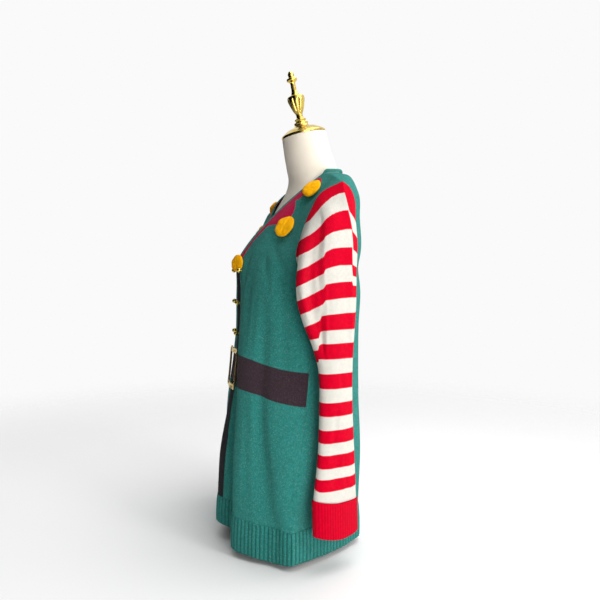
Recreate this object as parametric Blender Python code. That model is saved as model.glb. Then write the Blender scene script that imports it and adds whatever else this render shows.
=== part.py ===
"""A long knitted elf sweater dress on a limbless dress form with a short table stand.

The wearer's front faces -Y, the wearer's left is +X and +Z is up; the stand's foot rests on Z = 0.
Every cloth piece is a thin wall: its outer points are a grid, its inner points lie one cloth
thickness inside along the normals, and both faces are closed round their edges.
"""

import math

import bpy
import numpy as np
from mathutils import Matrix, Vector
from mathutils.bvhtree import BVHTree

# Driving sizes, in metres.
CLOTH = 0.0026
SEAM_GAP = 0.0003
DEPTH_SHIFT = 0.0449
RIB_PITCH = 0.0095
RIB_RISE = 0.0012
CUFF_RIB_PITCH = 0.0062
NECKBAND_WIDTH = 0.009
V_POINT_WAY = (0.0, 0.55, 0.83)
V_POINT_SHARE = 1.7
POMPOM_RADIUS = 0.0232
POMPOM_RISE = 0.012
POMPOM_LEAN = 0.45
POMPOM_HANG = 0.40
BELL_RADIUS = 0.0055
BUCKLE_SIZE = (0.090, 0.096)
BUCKLE_BAR = 0.012
BUCKLE_THICK = 0.003
BUCKLE_YAW = -0.17
POLE_RADIUS = 0.0125
POLE_Y = -0.042
FOOT_RADIUS = 0.115
FOOT_HEIGHT = 0.012
SOCKET_RADIUS = 0.019
SOCKET_HEIGHT = 0.014
NECK_LEAN = math.radians(13.0)
BODY_AXIS_Y = -0.03
FORM_SEGMENTS = 28

FRONT_COLUMNS = 14
BACK_COLUMNS = 12
NECK_COLUMNS = 5
ROWS_BETWEEN = {"skirt": 2, "bodice": 2, "yoke": 3}
SEAM_REACH = 0.003

# The front's left half, hem rib top to shoulder seam. Each row is one level of the knit, from its
# inner end (centre front, then the neckline) over bust and flank to its outer end (side seam, then
# armhole). A point is (x, y, z).
FRONT_LEVELS = (
    # span,     inner,                   bust,                    flank,                   outer
    ("skirt", (0.000, -0.203, 0.099), (0.097, -0.194, 0.088), (0.163, -0.156, 0.083), (0.221, -0.098, 0.079)),
    ("skirt", (0.000, -0.197, 0.205), (0.095, -0.190, 0.202), (0.159, -0.148, 0.198), (0.213, -0.082, 0.193)),
    ("skirt", (0.000, -0.1745, 0.347), (0.092, -0.181, 0.344), (0.153, -0.136, 0.339), (0.197, -0.057, 0.333)),
    ("bodice", (0.000, -0.1605, 0.432), (0.090, -0.176, 0.428), (0.148, -0.126, 0.422), (0.189, -0.046, 0.414)),
    ("bodice", (0.000, -0.1570, 0.510), (0.084, -0.163, 0.507), (0.143, -0.120, 0.502), (0.188, -0.040, 0.495)),
    ("bodice", (0.000, -0.157, 0.585), (0.082, -0.154, 0.582), (0.146, -0.120, 0.577), (0.192, -0.034, 0.570)),
    ("yoke", (0.000, -0.1575, 0.650), (0.078, -0.139, 0.652), (0.140, -0.110, 0.652), (0.190, -0.077, 0.652)),
    ("yoke", (0.028, -0.1330, 0.697), (0.080, -0.117, 0.699), (0.126, -0.086, 0.700), (0.188, -0.066, 0.701)),
    ("yoke", (0.053, -0.0830, 0.758), (0.086, -0.075, 0.759), (0.118, -0.052, 0.759), (0.185, -0.041, 0.760)),
    ("yoke", (0.075, -0.0330, 0.808), (0.108, -0.027, 0.806), (0.140, -0.010, 0.803), (0.189, -0.019, 0.797)),
    ("yoke", (0.091, 0.0310, 0.861), (0.127, 0.030, 0.852), (0.164, 0.029, 0.838), (0.200, 0.027, 0.8235)),
)

# The back's left half in the same order, from centre back over the blade and flank.
BACK_LEVELS = (
    # span,     inner,                  mid,                    blade,                  flank,                   outer
    ("skirt", (0.000, 0.102, 0.090), (0.080, 0.105, 0.089), (0.141, 0.095, 0.086), (0.186, 0.004, 0.082), (0.221, -0.098, 0.079)),
    ("skirt", (0.000, 0.108, 0.203), (0.078, 0.112, 0.202), (0.139, 0.1025, 0.199), (0.182, 0.009, 0.196), (0.213, -0.082, 0.193)),
    ("skirt", (0.000, 0.107, 0.345), (0.076, 0.108, 0.343), (0.133, 0.098, 0.340), (0.174, 0.022, 0.336), (0.197, -0.057, 0.333)),
    ("bodice", (0.000, 0.109, 0.430), (0.075, 0.110, 0.427), (0.128, 0.100, 0.424), (0.166, 0.030, 0.419), (0.189, -0.046, 0.414)),
    ("bodice", (0.000, 0.111, 0.508), (0.073, 0.112, 0.506), (0.126, 0.102, 0.503), (0.164, 0.036, 0.499), (0.188, -0.040, 0.495)),
    ("bodice", (0.000, 0.114, 0.585), (0.072, 0.114, 0.583), (0.127, 0.106, 0.579), (0.168, 0.050, 0.574), (0.192, -0.034, 0.570)),
    ("yoke", (0.000, 0.117, 0.665), (0.070, 0.116, 0.664), (0.125, 0.1055, 0.663), (0.158, 0.088, 0.662), (0.182, 0.062, 0.660)),
    ("yoke", (0.000, 0.118, 0.755), (0.068, 0.117, 0.755), (0.122, 0.106, 0.754), (0.155, 0.090, 0.752), (0.181, 0.068, 0.750)),
    ("yoke", (0.000, 0.118, 0.812), (0.066, 0.118, 0.814), (0.118, 0.104, 0.813), (0.156, 0.087, 0.804), (0.187, 0.062, 0.790)),
    ("yoke", (0.000, 0.114, 0.842), (0.062, 0.105, 0.853), (0.118, 0.082, 0.852), (0.160, 0.066, 0.832), (0.195, 0.047, 0.8115)),
)
NECK_BACK_CENTRE = (0.000, 0.107, 0.873)

# How far the hem's edge lies below the rib's top row, by distance from the centre, and how much
# wider it is.
HEM_DROP = (
    # x,    drop
    (0.000, 0.060),
    (0.060, 0.062),
    (0.100, 0.071),
    (0.190, 0.071),
    (0.224, 0.065),
)
HEM_SPREAD = 1.012

# How far the right half of the front lies behind the left half's mirror image, by height, at its
# inner end, bust, flank and outer end.
RIGHT_EASE = (
    # z,   inner,  bust,   flank,  outer
    (0.00, 0.000, 0.028, 0.016, 0.000),
    (0.20, 0.000, 0.027, 0.015, 0.000),
    (0.34, 0.000, 0.029, 0.016, 0.000),
    (0.43, 0.000, 0.036, 0.019, 0.000),
    (0.51, 0.000, 0.025, 0.014, 0.000),
    (0.60, 0.000, 0.015, 0.007, 0.000),
    (0.65, 0.000, 0.009, 0.004, 0.000),
    (0.70, 0.015, 0.012, 0.005, 0.000),
    (0.76, 0.018, 0.015, 0.006, 0.000),
    (0.80, 0.001, 0.003, 0.002, 0.000),
    (0.90, 0.000, 0.000, 0.000, 0.000),
)
EASE_COLUMNS = (0.00, 0.38, 0.70, 1.00)

# Soft vertical folds of the body. Angles are round the body's axis, 0 at centre front, 90 at the
# wearer's left; a fold runs from its low end to its high end and fades there.
BODY_FOLDS = (
    # angle low, angle high, z low, z high, depth,   width in degrees
    (0.0, 0.0, 0.440, 0.660, -0.0080, 6.5),
    (20.0, 15.5, -0.200, 0.480, -0.0260, 8.0),
    (-24.0, -20.0, -0.200, 0.330, -0.0100, 9.0),
    (1.0, 0.0, -0.100, 0.330, 0.0040, 7.0),
    (36.0, 35.0, -0.200, 0.330, 0.0050, 8.0),
    (62.0, 51.5, -0.060, 0.300, -0.0075, 5.5),
    (51.5, 52.0, 0.140, 0.620, -0.0070, 5.0),
    (-54.0, -49.0, -0.060, 0.340, -0.0070, 6.0),
    (-49.0, -47.0, 0.180, 0.560, -0.0060, 6.0),
    (70.0, 64.0, 0.380, 0.690, -0.0045, 4.5),
    (-69.0, -62.0, 0.340, 0.680, -0.0050, 5.0),
    (33.0, 34.0, 0.420, 0.640, -0.0040, 6.0),
    (-30.0, -33.0, 0.440, 0.640, -0.0040, 6.0),
    (150.0, 158.0, -0.200, 0.420, -0.0090, 7.0),
    (-152.0, -160.0, -0.200, 0.460, -0.0080, 7.0),
    (171.0, 178.0, -0.200, 0.380, -0.0060, 7.0),
    (118.0, 128.0, -0.100, 0.300, -0.0060, 8.0),
    (-116.0, -130.0, -0.100, 0.340, -0.0070, 8.0),
    (166.0, 160.0, 0.440, 0.720, -0.0050, 7.0),
    (-168.0, -163.0, 0.400, 0.690, -0.0045, 7.0),
)

# The left sleeve below the armhole: each ring is a flattened oval, tilted so that its front and
# back edges hang lower than its pressed outer crease.
SLEEVE_RINGS = (
    # rows, x,     y,     z at crease, half length, half thickness, turn, front drop, back drop, under drop
    (2, 0.214, -0.012, 0.718, 0.070, 0.0200, 4.0, 0.062, 0.040, 0.160),
    (2, 0.220, -0.018, 0.652, 0.072, 0.0225, 6.0, 0.050, 0.030, 0.106),
    (2, 0.223, -0.014, 0.575, 0.066, 0.0240, 8.0, 0.036, 0.018, 0.054),
    (2, 0.225, -0.006, 0.500, 0.052, 0.0240, 10.0, 0.020, 0.008, 0.028),
    (2, 0.226, -0.001, 0.425, 0.041, 0.0230, 12.0, 0.004, 0.004, 0.008),
    (2, 0.227, 0.000, 0.330, 0.0405, 0.0220, 13.0, -0.003, 0.000, 0.000),
    (1, 0.230, -0.001, 0.230, 0.0465, 0.0210, 15.0, -0.005, 0.000, 0.000),
    (1, 0.235, -0.006, 0.144, 0.0555, 0.0200, 16.0, -0.0105, 0.004, 0.000),
)
CUFF_RING = (0, 0.2365, -0.005, 0.069, 0.0550, 0.0190, 16.0, -0.012, -0.004, 0.000)
CREASE_ANGLE = -42.0

# Soft folds of the sleeve: angle round the oval, 0 on its outer face and 90 at its front edge.
SLEEVE_FOLDS = (
    # angle low, angle high, z low, z high, depth, width in degrees
    (58.0, 22.0, 0.430, 0.790, -0.0110, 15.0),
    (80.0, 50.0, 0.470, 0.700, 0.0040, 14.0),
    (-42.0, -42.0, 0.250, 0.860, 0.0035, 12.0),
    (20.0, 12.0, 0.130, 0.300, -0.0030, 16.0),
    (200.0, 190.0, 0.300, 0.520, 0.0030, 18.0),
)

# The dress form: level rings from the torso's flat bottom to the neck's top.
FORM_RINGS = (
    # z,    y front, y back, half width, lean, squareness
    (0.275, -0.098, 0.070, 0.138, 0.0, 2.2),
    (0.290, -0.108, 0.074, 0.146, 0.0, 2.2),
    (0.345, -0.112, 0.078, 0.148, 0.0, 2.2),
    (0.400, -0.105, 0.074, 0.136, 0.0, 2.2),
    (0.455, -0.098, 0.070, 0.121, 0.0, 2.2),
    (0.520, -0.108, 0.078, 0.127, 0.0, 2.2),
    (0.585, -0.126, 0.088, 0.138, 0.0, 2.2),
    (0.635, -0.128, 0.094, 0.146, 0.0, 2.1),
    (0.685, -0.106, 0.097, 0.152, 0.0, 2.0),
    (0.735, -0.078, 0.096, 0.152, 0.0, 2.0),
    (0.765, -0.060, 0.092, 0.149, 0.0, 2.0),
    (0.790, -0.048, 0.092, 0.147, 0.0, 1.8),
    (0.808, -0.040, 0.093, 0.134, 0.0, 1.6),
    (0.822, -0.034, 0.095, 0.103, 0.0, 1.6),
    (0.838, -0.029, 0.098, 0.076, 2.0, 1.8),
    (0.862, -0.026, 0.100, 0.0620, 5.0, 2.0),
    (0.890, -0.031, 0.0925, 0.0590, 7.0, 2.0),
    (0.915, -0.036, 0.082, 0.0565, 9.0, 2.0),
    (0.968, -0.044, 0.066, 0.0545, 13.0, 2.0),
)

# The cap and finial's turned outline, measured along their leaning axis.
FINIAL_PROFILE = (
    # radius, height
    (0.0555, 0.0000),
    (0.0560, 0.0035),
    (0.0500, 0.0090),
    (0.0350, 0.0175),
    (0.0190, 0.0240),
    (0.0170, 0.0270),
    (0.0180, 0.0315),
    (0.0125, 0.0350),
    (0.0145, 0.0400),
    (0.0095, 0.0440),
    (0.0085, 0.0520),
    (0.0130, 0.0620),
    (0.0190, 0.0790),
    (0.0215, 0.0910),
    (0.0205, 0.0970),
    (0.0110, 0.1010),
    (0.0080, 0.1080),
    (0.0065, 0.1220),
    (0.0070, 0.1320),
    (0.0130, 0.1375),
    (0.0130, 0.1415),
    (0.0075, 0.1450),
    (0.0078, 0.1530),
    (0.0050, 0.1590),
)
URN_HEIGHTS = (0.056, 0.095)
URN_FLUTES = 8
FLUTE_DEPTH = 0.12

# Where the pompoms sit on the collar's points: (x, z) seen from the front, and how far each is
# turned to the side by its stitch. They hang by that stitch, more upright than the cloth.
POMPOM_PLACES = {
    "left_shoulder": (0.116, 0.815, 0.05),
    "left_chest": (0.117, 0.726, 0.12),
    "centre": (0.006, 0.645, 0.14),
    "right_chest": (-0.126, 0.734, -0.12),
    "right_shoulder": (-0.127, 0.795, -0.05),
}
BELL_PLACES = {
    "top_left": (0.036, 0.629),
    "top_right": (-0.037, 0.630),
    "middle_left": (0.025, 0.553),
    "middle_right": (-0.026, 0.556),
    "low_left": (0.021, 0.480),
    "low_right": (-0.022, 0.484),
}
BUCKLE_PLACE = (0.000, 0.398)

# Steps from a trim's point at which the panel under it is felt.
TRIM_PROBES = [(0.0, 0.0)] + [
    (0.0042 * math.cos(k * math.pi / 3), 0.0042 * math.sin(k * math.pi / 3)) for k in range(6)
]

COLOURS = {
    # name: (red, green, blue, roughness, metallic)
    "green_knit": (0.030, 0.160, 0.130, 0.9, 0.0),
    "red_knit": (0.800, 0.004, 0.030, 0.9, 0.0),
    "pompom_felt": (0.900, 0.420, 0.010, 0.95, 0.0),
    "gold": (0.830, 0.620, 0.230, 0.25, 1.0),
    "cream_jersey": (0.860, 0.800, 0.690, 0.85, 0.0),
    "steel": (0.550, 0.550, 0.560, 0.35, 1.0),
}


def clear_scene():
    """An empty scene to build in."""
    for old in list(bpy.data.objects):
        bpy.data.objects.remove(old)


def material(name):
    """A Principled BSDF in one of the object's colours, made once."""
    found = bpy.data.materials.get(name)
    if found:
        return found
    red, green, blue, roughness, metallic = COLOURS[name]
    made = bpy.data.materials.new(name)
    made.use_nodes = True
    shader = made.node_tree.nodes["Principled BSDF"]
    shader.inputs["Base Color"].default_value = (red, green, blue, 1.0)
    shader.inputs["Roughness"].default_value = roughness
    shader.inputs["Metallic"].default_value = metallic
    return made


def add_object(name, points, faces, finish, smooth_angle=40.0):
    """One closed solid, smooth shaded except over its sharp edges."""
    mesh = bpy.data.meshes.new(name)
    shift = np.array((0.0, DEPTH_SHIFT, 0.0))
    mesh.from_pydata((np.asarray(points) + shift).tolist(), [], [list(map(int, f)) for f in faces])
    mesh.update()
    mesh.shade_smooth()
    mesh.set_sharp_from_angle(angle=math.radians(smooth_angle))
    mesh.materials.append(material(finish))
    made = bpy.data.objects.new(name, mesh)
    bpy.context.scene.collection.objects.link(made)
    return made


def slopes(knots, values):
    """Slopes for a smooth curve through the values: centred differences, one-sided at the ends."""
    rise = np.diff(values, axis=0) / np.diff(knots)[:, None]
    middle = (rise[1:] * np.diff(knots)[:-1, None] + rise[:-1] * np.diff(knots)[1:, None])
    middle /= (knots[2:] - knots[:-2])[:, None]
    return np.concatenate([rise[:1], middle, rise[-1:]])


def smooth_curve(knots, values, at):
    """A cubic Hermite curve through the values (n by 3) at the knots, read at the given places."""
    knots, values, at = (np.asarray(a, float) for a in (knots, values, at))
    tangents = slopes(knots, values)
    index = np.clip(np.searchsorted(knots, at, side="right") - 1, 0, len(knots) - 2)
    width = (knots[index + 1] - knots[index])[:, None]
    f = (at[:, None] - knots[index][:, None]) / width
    start, end = values[index], values[index + 1]
    return (
        start * (1 + 2 * f) * (1 - f) ** 2
        + end * f**2 * (3 - 2 * f)
        + width * tangents[index] * f * (1 - f) ** 2
        - width * tangents[index + 1] * f**2 * (1 - f)
    )


def lengths_along(points):
    """The running length of a line of points, from 0."""
    steps = np.linalg.norm(np.diff(points, axis=0), axis=1)
    return np.concatenate([[0.0], np.cumsum(steps)])


def evenly_along(points, count):
    """count + 1 points at equal distances along a finely sampled line."""
    run = lengths_along(points)
    at = np.linspace(0.0, run[-1], count + 1)
    return np.stack([np.interp(at, run, points[:, k]) for k in range(3)], axis=1)


def level_line(anchors, count, beyond=None):
    """One level of the left half, count + 1 points from its inner to its outer anchor. The line
    bends towards the mirrored half at the centre and towards the point beyond its outer end."""
    anchors = np.asarray(anchors, float)
    on_centre = abs(anchors[0, 0]) < 1e-9
    whole = np.concatenate([anchors[:0:-1] * (-1, 1, 1), anchors]) if on_centre else anchors
    last = len(whole) - 1
    if beyond is not None:
        whole = np.concatenate([whole, [beyond]])
    run = lengths_along(whole)
    first = run[len(anchors) - 1] if on_centre else 0.0
    fine = smooth_curve(run, whole, np.linspace(first, run[last], 200))
    return evenly_along(fine, count)


def level_lines(levels, count, other_levels):
    """Every level's line; between the hem and the armpit the side seam is rounded over."""
    lines = []
    for k, level in enumerate(levels):
        rounded = k > 0 and level[0] in ("skirt", "bodice")
        lines.append(level_line(level[1:], count, other_levels[k][-2] if rounded else None))
    return lines


def half_grid(levels, lines):
    """Rows by columns of points: the level lines, with smooth rows put between them."""
    lines = np.asarray(lines)
    centre_run = lengths_along(lines.mean(axis=1))
    places = [centre_run[0]]
    for k in range(1, len(levels)):
        step = ROWS_BETWEEN[levels[k][0]]
        places.extend(np.linspace(centre_run[k - 1], centre_run[k], step + 1)[1:])
    columns = [smooth_curve(centre_run, lines[:, c], places) for c in range(lines.shape[1])]
    return np.stack(columns, axis=1)


def fades(z, low, high):
    """1 inside a fold's stretch, falling softly to 0 over its last third at each end."""
    reach = (high - low) / 3
    up = np.clip((z - low) / reach, 0, 1)
    down = np.clip((high - z) / reach, 0, 1)
    return (up * up * (3 - 2 * up)) * (down * down * (3 - 2 * down))


def fold_shift(angle, z, folds):
    """How far each point moves along its normal: the sum of the soft folds over it."""
    moved = np.zeros_like(z)
    for angle_low, angle_high, low, high, depth, width in folds:
        share = np.clip((z - low) / (high - low), 0, 1)
        middle = angle_low + (angle_high - angle_low) * share
        away = (angle - middle + 180.0) % 360.0 - 180.0
        moved += depth * np.exp(-((away / width) ** 2)) * fades(z, low, high)
    return moved


def body_angle(points):
    """Degrees round the body's axis: 0 at centre front, 90 at the wearer's left."""
    return np.degrees(np.arctan2(points[..., 0], BODY_AXIS_Y - points[..., 1]))


def point_normals(points, faces):
    """Unit normals at the points, averaged over the quads that meet there."""
    faces = np.asarray(faces)
    across = np.cross(points[faces[:, 2]] - points[faces[:, 0]], points[faces[:, 3]] - points[faces[:, 1]])
    total = np.zeros_like(points)
    for corner in range(4):
        np.add.at(total, faces[:, corner], across)
    return total / np.maximum(np.linalg.norm(total, axis=1), 1e-12)[:, None]


def weld(points, faces):
    """Points at one place made one, and the faces renumbered."""
    _, first, index = np.unique(np.round(points, 6), axis=0, return_index=True, return_inverse=True)
    return points[first], index.reshape(-1)[np.asarray(faces)]


def grid_faces(rows, columns, start=0, closed=False, flip=False):
    """Quads over a rows by columns grid whose columns may run round into a ring."""
    last = columns if closed else columns - 1
    quads = []
    for r in range(rows - 1):
        for c in range(last):
            after = (c + 1) % columns
            quad = [r * columns + c, r * columns + after, (r + 1) * columns + after, (r + 1) * columns + c]
            quads.append([start + q for q in (quad[::-1] if flip else quad)])
    return quads


class Sheet:
    """One cloth piece: its outer points and the quads between them, facing out."""

    def __init__(self, name, finish):
        self.name, self.finish = name, finish
        self.points, self.faces = np.zeros((0, 3)), []

    def add_grid(self, grid, closed=False, flip=False):
        rows, columns = grid.shape[:2]
        self.faces += grid_faces(rows, columns, len(self.points), closed, flip)
        self.points = np.concatenate([self.points, grid.reshape(-1, 3)])

    def welded(self):
        self.points, faces = weld(self.points, self.faces)
        self.faces = [f for f in faces if len(set(f.tolist())) == 4]
        return self


def open_edges(faces):
    """The quads' edges that belong to one quad only, in that quad's direction."""
    ends = {}
    for face in faces:
        for k in range(4):
            a, b = int(face[k]), int(face[(k + 1) % 4])
            ends[(a, b)] = (b, a) not in ends
            if (b, a) in ends:
                ends[(b, a)] = False
    return [pair for pair, alone in ends.items() if alone]


def edge_pulls(sheet):
    """For each point on an open edge, the step that insets it by one; zero for the others."""
    middles = {}
    for face in sheet.faces:
        for k in range(4):
            middles[(int(face[k]), int(face[(k + 1) % 4]))] = sheet.points[face].mean(axis=0)
    inwards = {}
    for a, b in open_edges(sheet.faces):
        along = sheet.points[b] - sheet.points[a]
        along /= np.linalg.norm(along)
        step = middles[(a, b)] - sheet.points[a]
        step -= along * (step @ along)
        step /= np.linalg.norm(step)
        inwards.setdefault(a, []).append(step)
        inwards.setdefault(b, []).append(step)
    pulls = np.zeros_like(sheet.points)
    for p, steps in inwards.items():
        first, last = steps[0], steps[-1]
        pulls[p] = (first + last) / max(1 + first @ last, 0.6)
    return pulls


def neighbour_at(point, sheet, values, edges):
    """The sheet's values at the nearest place on its open edge, or None if that is out of reach."""
    start, end = sheet.points[edges[:, 0]], sheet.points[edges[:, 1]]
    along = end - start
    share = np.clip(((point - start) * along).sum(axis=1) / (along**2).sum(axis=1), 0, 1)
    gaps = np.linalg.norm(start + share[:, None] * along - point, axis=1)
    k = int(np.argmin(gaps))
    if gaps[k] > SEAM_REACH:
        return None
    return [v[edges[k, 0]] * (1 - share[k]) + v[edges[k, 1]] * share[k] for v in values]


def seam_lines(sheets):
    """Each sheet's wall directions and edge shifts. At an outward seam the walls meet in a mitre;
    at a seam folded in, each keeps its own direction and is set back from the other."""
    own = [point_normals(sheet.points, sheet.faces) for sheet in sheets]
    pulls = [edge_pulls(sheet) for sheet in sheets]
    edges = [np.array(open_edges(sheet.faces)) for sheet in sheets]
    result = []
    for i, sheet in enumerate(sheets):
        normals, shifts = own[i].copy(), pulls[i] * SEAM_GAP
        for p in np.unique(edges[i]):
            for j, other in enumerate(sheets):
                found = j != i and neighbour_at(sheet.points[p], other, (own[j], pulls[j]), edges[j])
                if not found:
                    continue
                other_normal, other_pull = found
                turn = float(own[i][p] @ other_normal)
                folded_in = float(other_pull @ own[i][p]) > 0 and turn < 0.3
                normals[p] += other_normal * (np.clip(turn, 0, 1) if folded_in else 1.0)
                if folded_in:
                    shifts[p] -= own[i][p] * SEAM_GAP * (1 - turn) / 2
            normals[p] /= np.linalg.norm(normals[p])
        result.append((normals, shifts))
    return result


def add_wall(sheet, normals, shifts, rises=None):
    """The sheet as a closed wall: its outer face, its inner face and the rims that join them."""
    points = sheet.points + shifts
    outer = points if rises is None else points + normals * rises[:, None]
    inner = points - normals * CLOTH
    count = len(points)
    faces = [list(map(int, f)) for f in sheet.faces]
    faces += [[int(p) + count for p in f[::-1]] for f in sheet.faces]
    faces += [[b, a, a + count, b + count] for a, b in open_edges(sheet.faces)]
    return add_object(sheet.name, np.concatenate([outer, inner]), faces, sheet.finish)


def mirrored(points):
    return points * np.array((-1.0, 1.0, 1.0))


def folded(grids, flips, folds, angles=None, closed=False):
    """The grids of one sheet with its soft folds pressed in along its normals."""
    points = np.concatenate([grid.reshape(-1, 3) for grid in grids])
    faces, start = [], 0
    for grid, flip in zip(grids, flips):
        faces += grid_faces(*grid.shape[:2], start, closed, flip)
        start += grid.shape[0] * grid.shape[1]
    _, first, index = np.unique(np.round(points, 6), axis=0, return_index=True, return_inverse=True)
    index = index.reshape(-1)
    kept = points[first]
    turned_to = body_angle(kept) if angles is None else angles.reshape(-1)[first]
    normals = point_normals(kept, index[np.array(faces)])
    moved = (kept + normals * fold_shift(turned_to, kept[:, 2], folds)[:, None])[index]
    sizes = np.cumsum([0] + [grid.shape[0] * grid.shape[1] for grid in grids])
    return [moved[a:b].reshape(grid.shape) for a, b, grid in zip(sizes[:-1], sizes[1:], grids)]


def v_row():
    """The front's row that holds the V's point."""
    return sum(ROWS_BETWEEN[level[0]] for level in FRONT_LEVELS[1:] if level[1][0] == 0)


def front_grids():
    """The front's half grids, by side (1 left, -1 right)."""
    left = half_grid(FRONT_LEVELS, level_lines(FRONT_LEVELS, FRONT_COLUMNS, BACK_LEVELS))
    left[: v_row() + 1, 0, 0] = 0.0
    right = mirrored(left)
    table = np.array(RIGHT_EASE)
    share = np.linspace(0, 1, FRONT_COLUMNS + 1)
    for c in range(FRONT_COLUMNS + 1):
        ease = [np.interp(share[c], EASE_COLUMNS, row) for row in table[:, 1:]]
        right[:, c, 1] += np.interp(right[:, c, 2], table[:, 0], ease)
    left, right = folded([left, right], [False, True], BODY_FOLDS)
    return {1: left, -1: right}


def back_top_line():
    """The back's top row: the neck's curve to the shoulder, then the straight shoulder seam."""
    seam = np.array(FRONT_LEVELS[-1][1:])
    centre, corner = np.array(NECK_BACK_CENTRE), seam[0]
    turn = np.linspace(0.0, math.pi / 2, NECK_COLUMNS + 1)
    across, along = np.sin(turn), np.cos(turn)
    neck = np.stack(
        [
            corner[0] * across,
            corner[1] + (centre[1] - corner[1]) * along,
            corner[2] + (centre[2] - corner[2]) * along,
        ],
        axis=1,
    )
    return np.concatenate([neck, level_line_open(seam, BACK_COLUMNS - NECK_COLUMNS)[1:]])


def level_line_open(anchors, count):
    """Points at equal distances along a smooth line through the anchors."""
    anchors = np.asarray(anchors, float)
    run = lengths_along(anchors)
    return evenly_along(smooth_curve(run, anchors, np.linspace(0, run[-1], 200)), count)


def back_grids():
    """The back's half grids, by side (1 left, -1 right)."""
    lines = level_lines(BACK_LEVELS, BACK_COLUMNS, FRONT_LEVELS)
    left = half_grid(BACK_LEVELS + (("yoke",),), lines + [back_top_line()])
    left, right = folded([left, mirrored(left)], [True, False], BODY_FOLDS)
    return {1: left, -1: right}


def resampled(line, count):
    """A line of points at count + 1 equal distances."""
    run = lengths_along(line)
    fine = smooth_curve(run, line, np.linspace(0, run[-1], 400))
    return evenly_along(fine, count)


def joined_seams(front, back):
    """Moves both halves' side edges to their mean, so that the two walls meet along one line."""
    shared = ROWS_BETWEEN["skirt"] * 2 + ROWS_BETWEEN["bodice"] * 3 + 1
    middle = (front[:shared, -1] + back[:shared, -1]) / 2
    front[:shared, -1] = middle
    back[:shared, -1] = middle
    return shared


def body_grids():
    """Front and back half grids by side, with common side and shoulder seams."""
    fronts, backs = front_grids(), back_grids()
    for side in (1, -1):
        front, back = fronts[side], backs[side]
        armpit_row = joined_seams(front, back)
        back[-1, NECK_COLUMNS:] = resampled(front[-1], BACK_COLUMNS - NECK_COLUMNS)
        back[-1, -1] = front[-1, -1]
    return fronts, backs, armpit_row


def rib_band(name, finish, top_line, drop_line, pitch, closed, outward):
    """A ribbed band below a line of points: crests and grooves by turns, on a plain inside."""
    run = lengths_along(top_line)
    ribs = max(3, int(round(run[-1] / pitch)))
    top, low = resampled(top_line, ribs * 2), resampled(drop_line, ribs * 2)
    if closed:
        top, low = top[:-1], low[:-1]
    sheet = Sheet(name, finish)
    sheet.add_grid(np.stack([low, top]), closed=closed, flip=not outward)
    crest = np.where(np.arange(len(top)) % 2 == 1, RIB_RISE, 0.0)
    crest = np.tile(crest, 2)
    return sheet, crest


def hem_band(name, halves, outward):
    """The ribbed hem under one panel, from its right side seam to its left one."""
    right, left = halves
    top = np.concatenate([right[0, ::-1], left[0, 1:]])
    gap = np.array((0.0, 0.0, -SEAM_GAP))
    distances, drops = np.array(HEM_DROP).T
    below = top * np.array((HEM_SPREAD, HEM_SPREAD, 1.0))
    below[:, 2] -= np.interp(np.abs(top[:, 0]), distances, drops)
    return rib_band(name, "green_knit", top + gap, below, RIB_PITCH, False, outward)


def oval_ring(ring, angles):
    """Points of one sleeve ring at angles round its oval: 0 outer face, 90 front edge."""
    _, x, y, z, half_length, half_thick, turn, front_drop, back_drop, under_drop = ring
    a = np.radians(angles)
    out, ahead = np.cos(a), np.sin(a)
    out = np.sign(out) * np.abs(out) ** 0.9
    along = np.array((math.sin(math.radians(turn)), -math.cos(math.radians(turn))))
    outwards = np.array((-along[1], along[0]))
    plan = half_length * ahead[:, None] * along + half_thick * out[:, None] * outwards
    drop = front_drop * np.clip(ahead, 0, 1) ** 1.5 + back_drop * np.clip(-ahead, 0, 1) ** 1.5
    drop = drop + under_drop * np.clip(-out, 0, 1) ** 1.2
    return np.stack([x + plan[:, 0], y + plan[:, 1], z - drop], axis=1)


def sleeve_angles(front_count, back_count):
    """The ring angle of each sleeve column, from the shoulder tip forwards and round."""
    forward = np.linspace(CREASE_ANGLE, 180.0, front_count + 1)
    behind = np.linspace(180.0, 360.0 + CREASE_ANGLE, back_count + 1)[1:-1]
    return np.concatenate([forward, behind])


def armhole_loop(front, back, armpit_row):
    """The armhole's points: shoulder tip, down the front edge, under, and up the back edge."""
    ahead = front[armpit_row - 1 :, -1][::-1]
    behind = back[armpit_row - 1 :, -1][1:-1]
    return np.concatenate([ahead, behind]), len(ahead) - 1, len(behind) + 1


def sleeve_grid(side, front, back, armpit_row):
    """Rows of the sleeve's points, from the armhole down to the cuff's top."""
    loop, front_count, back_count = armhole_loop(front, back, armpit_row)
    angles = sleeve_angles(front_count, back_count)
    rings = [oval_ring(ring, angles) for ring in SLEEVE_RINGS]
    if side < 0:
        rings = [mirrored(ring) for ring in rings]
    lines = np.stack([loop] + rings)
    run = lengths_along(lines.mean(axis=1))
    places = [run[0]]
    for k, ring in enumerate(SLEEVE_RINGS):
        places.extend(np.linspace(run[k], run[k + 1], ring[0] + 1)[1:])
    columns = [smooth_curve(run, lines[:, c], places) for c in range(lines.shape[1])]
    grid = np.stack(columns, axis=1)
    swept = np.broadcast_to(angles, grid.shape[:2])
    pressed = folded([grid], [side < 0], SLEEVE_FOLDS, swept, closed=True)[0]
    pressed[0] = loop
    return pressed, angles


def cuff_band(name, side, bottom, angles):
    """The ribbed cuff under a sleeve."""
    ring = oval_ring(CUFF_RING, angles)
    ring = mirrored(ring) if side < 0 else ring
    gap = np.array((0.0, 0.0, -2 * SEAM_GAP))
    top = np.concatenate([bottom, bottom[:1]]) + gap
    low = np.concatenate([ring, ring[:1]])
    return rib_band(name, "red_knit", top, low, CUFF_RIB_PITCH, True, side < 0)


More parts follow.
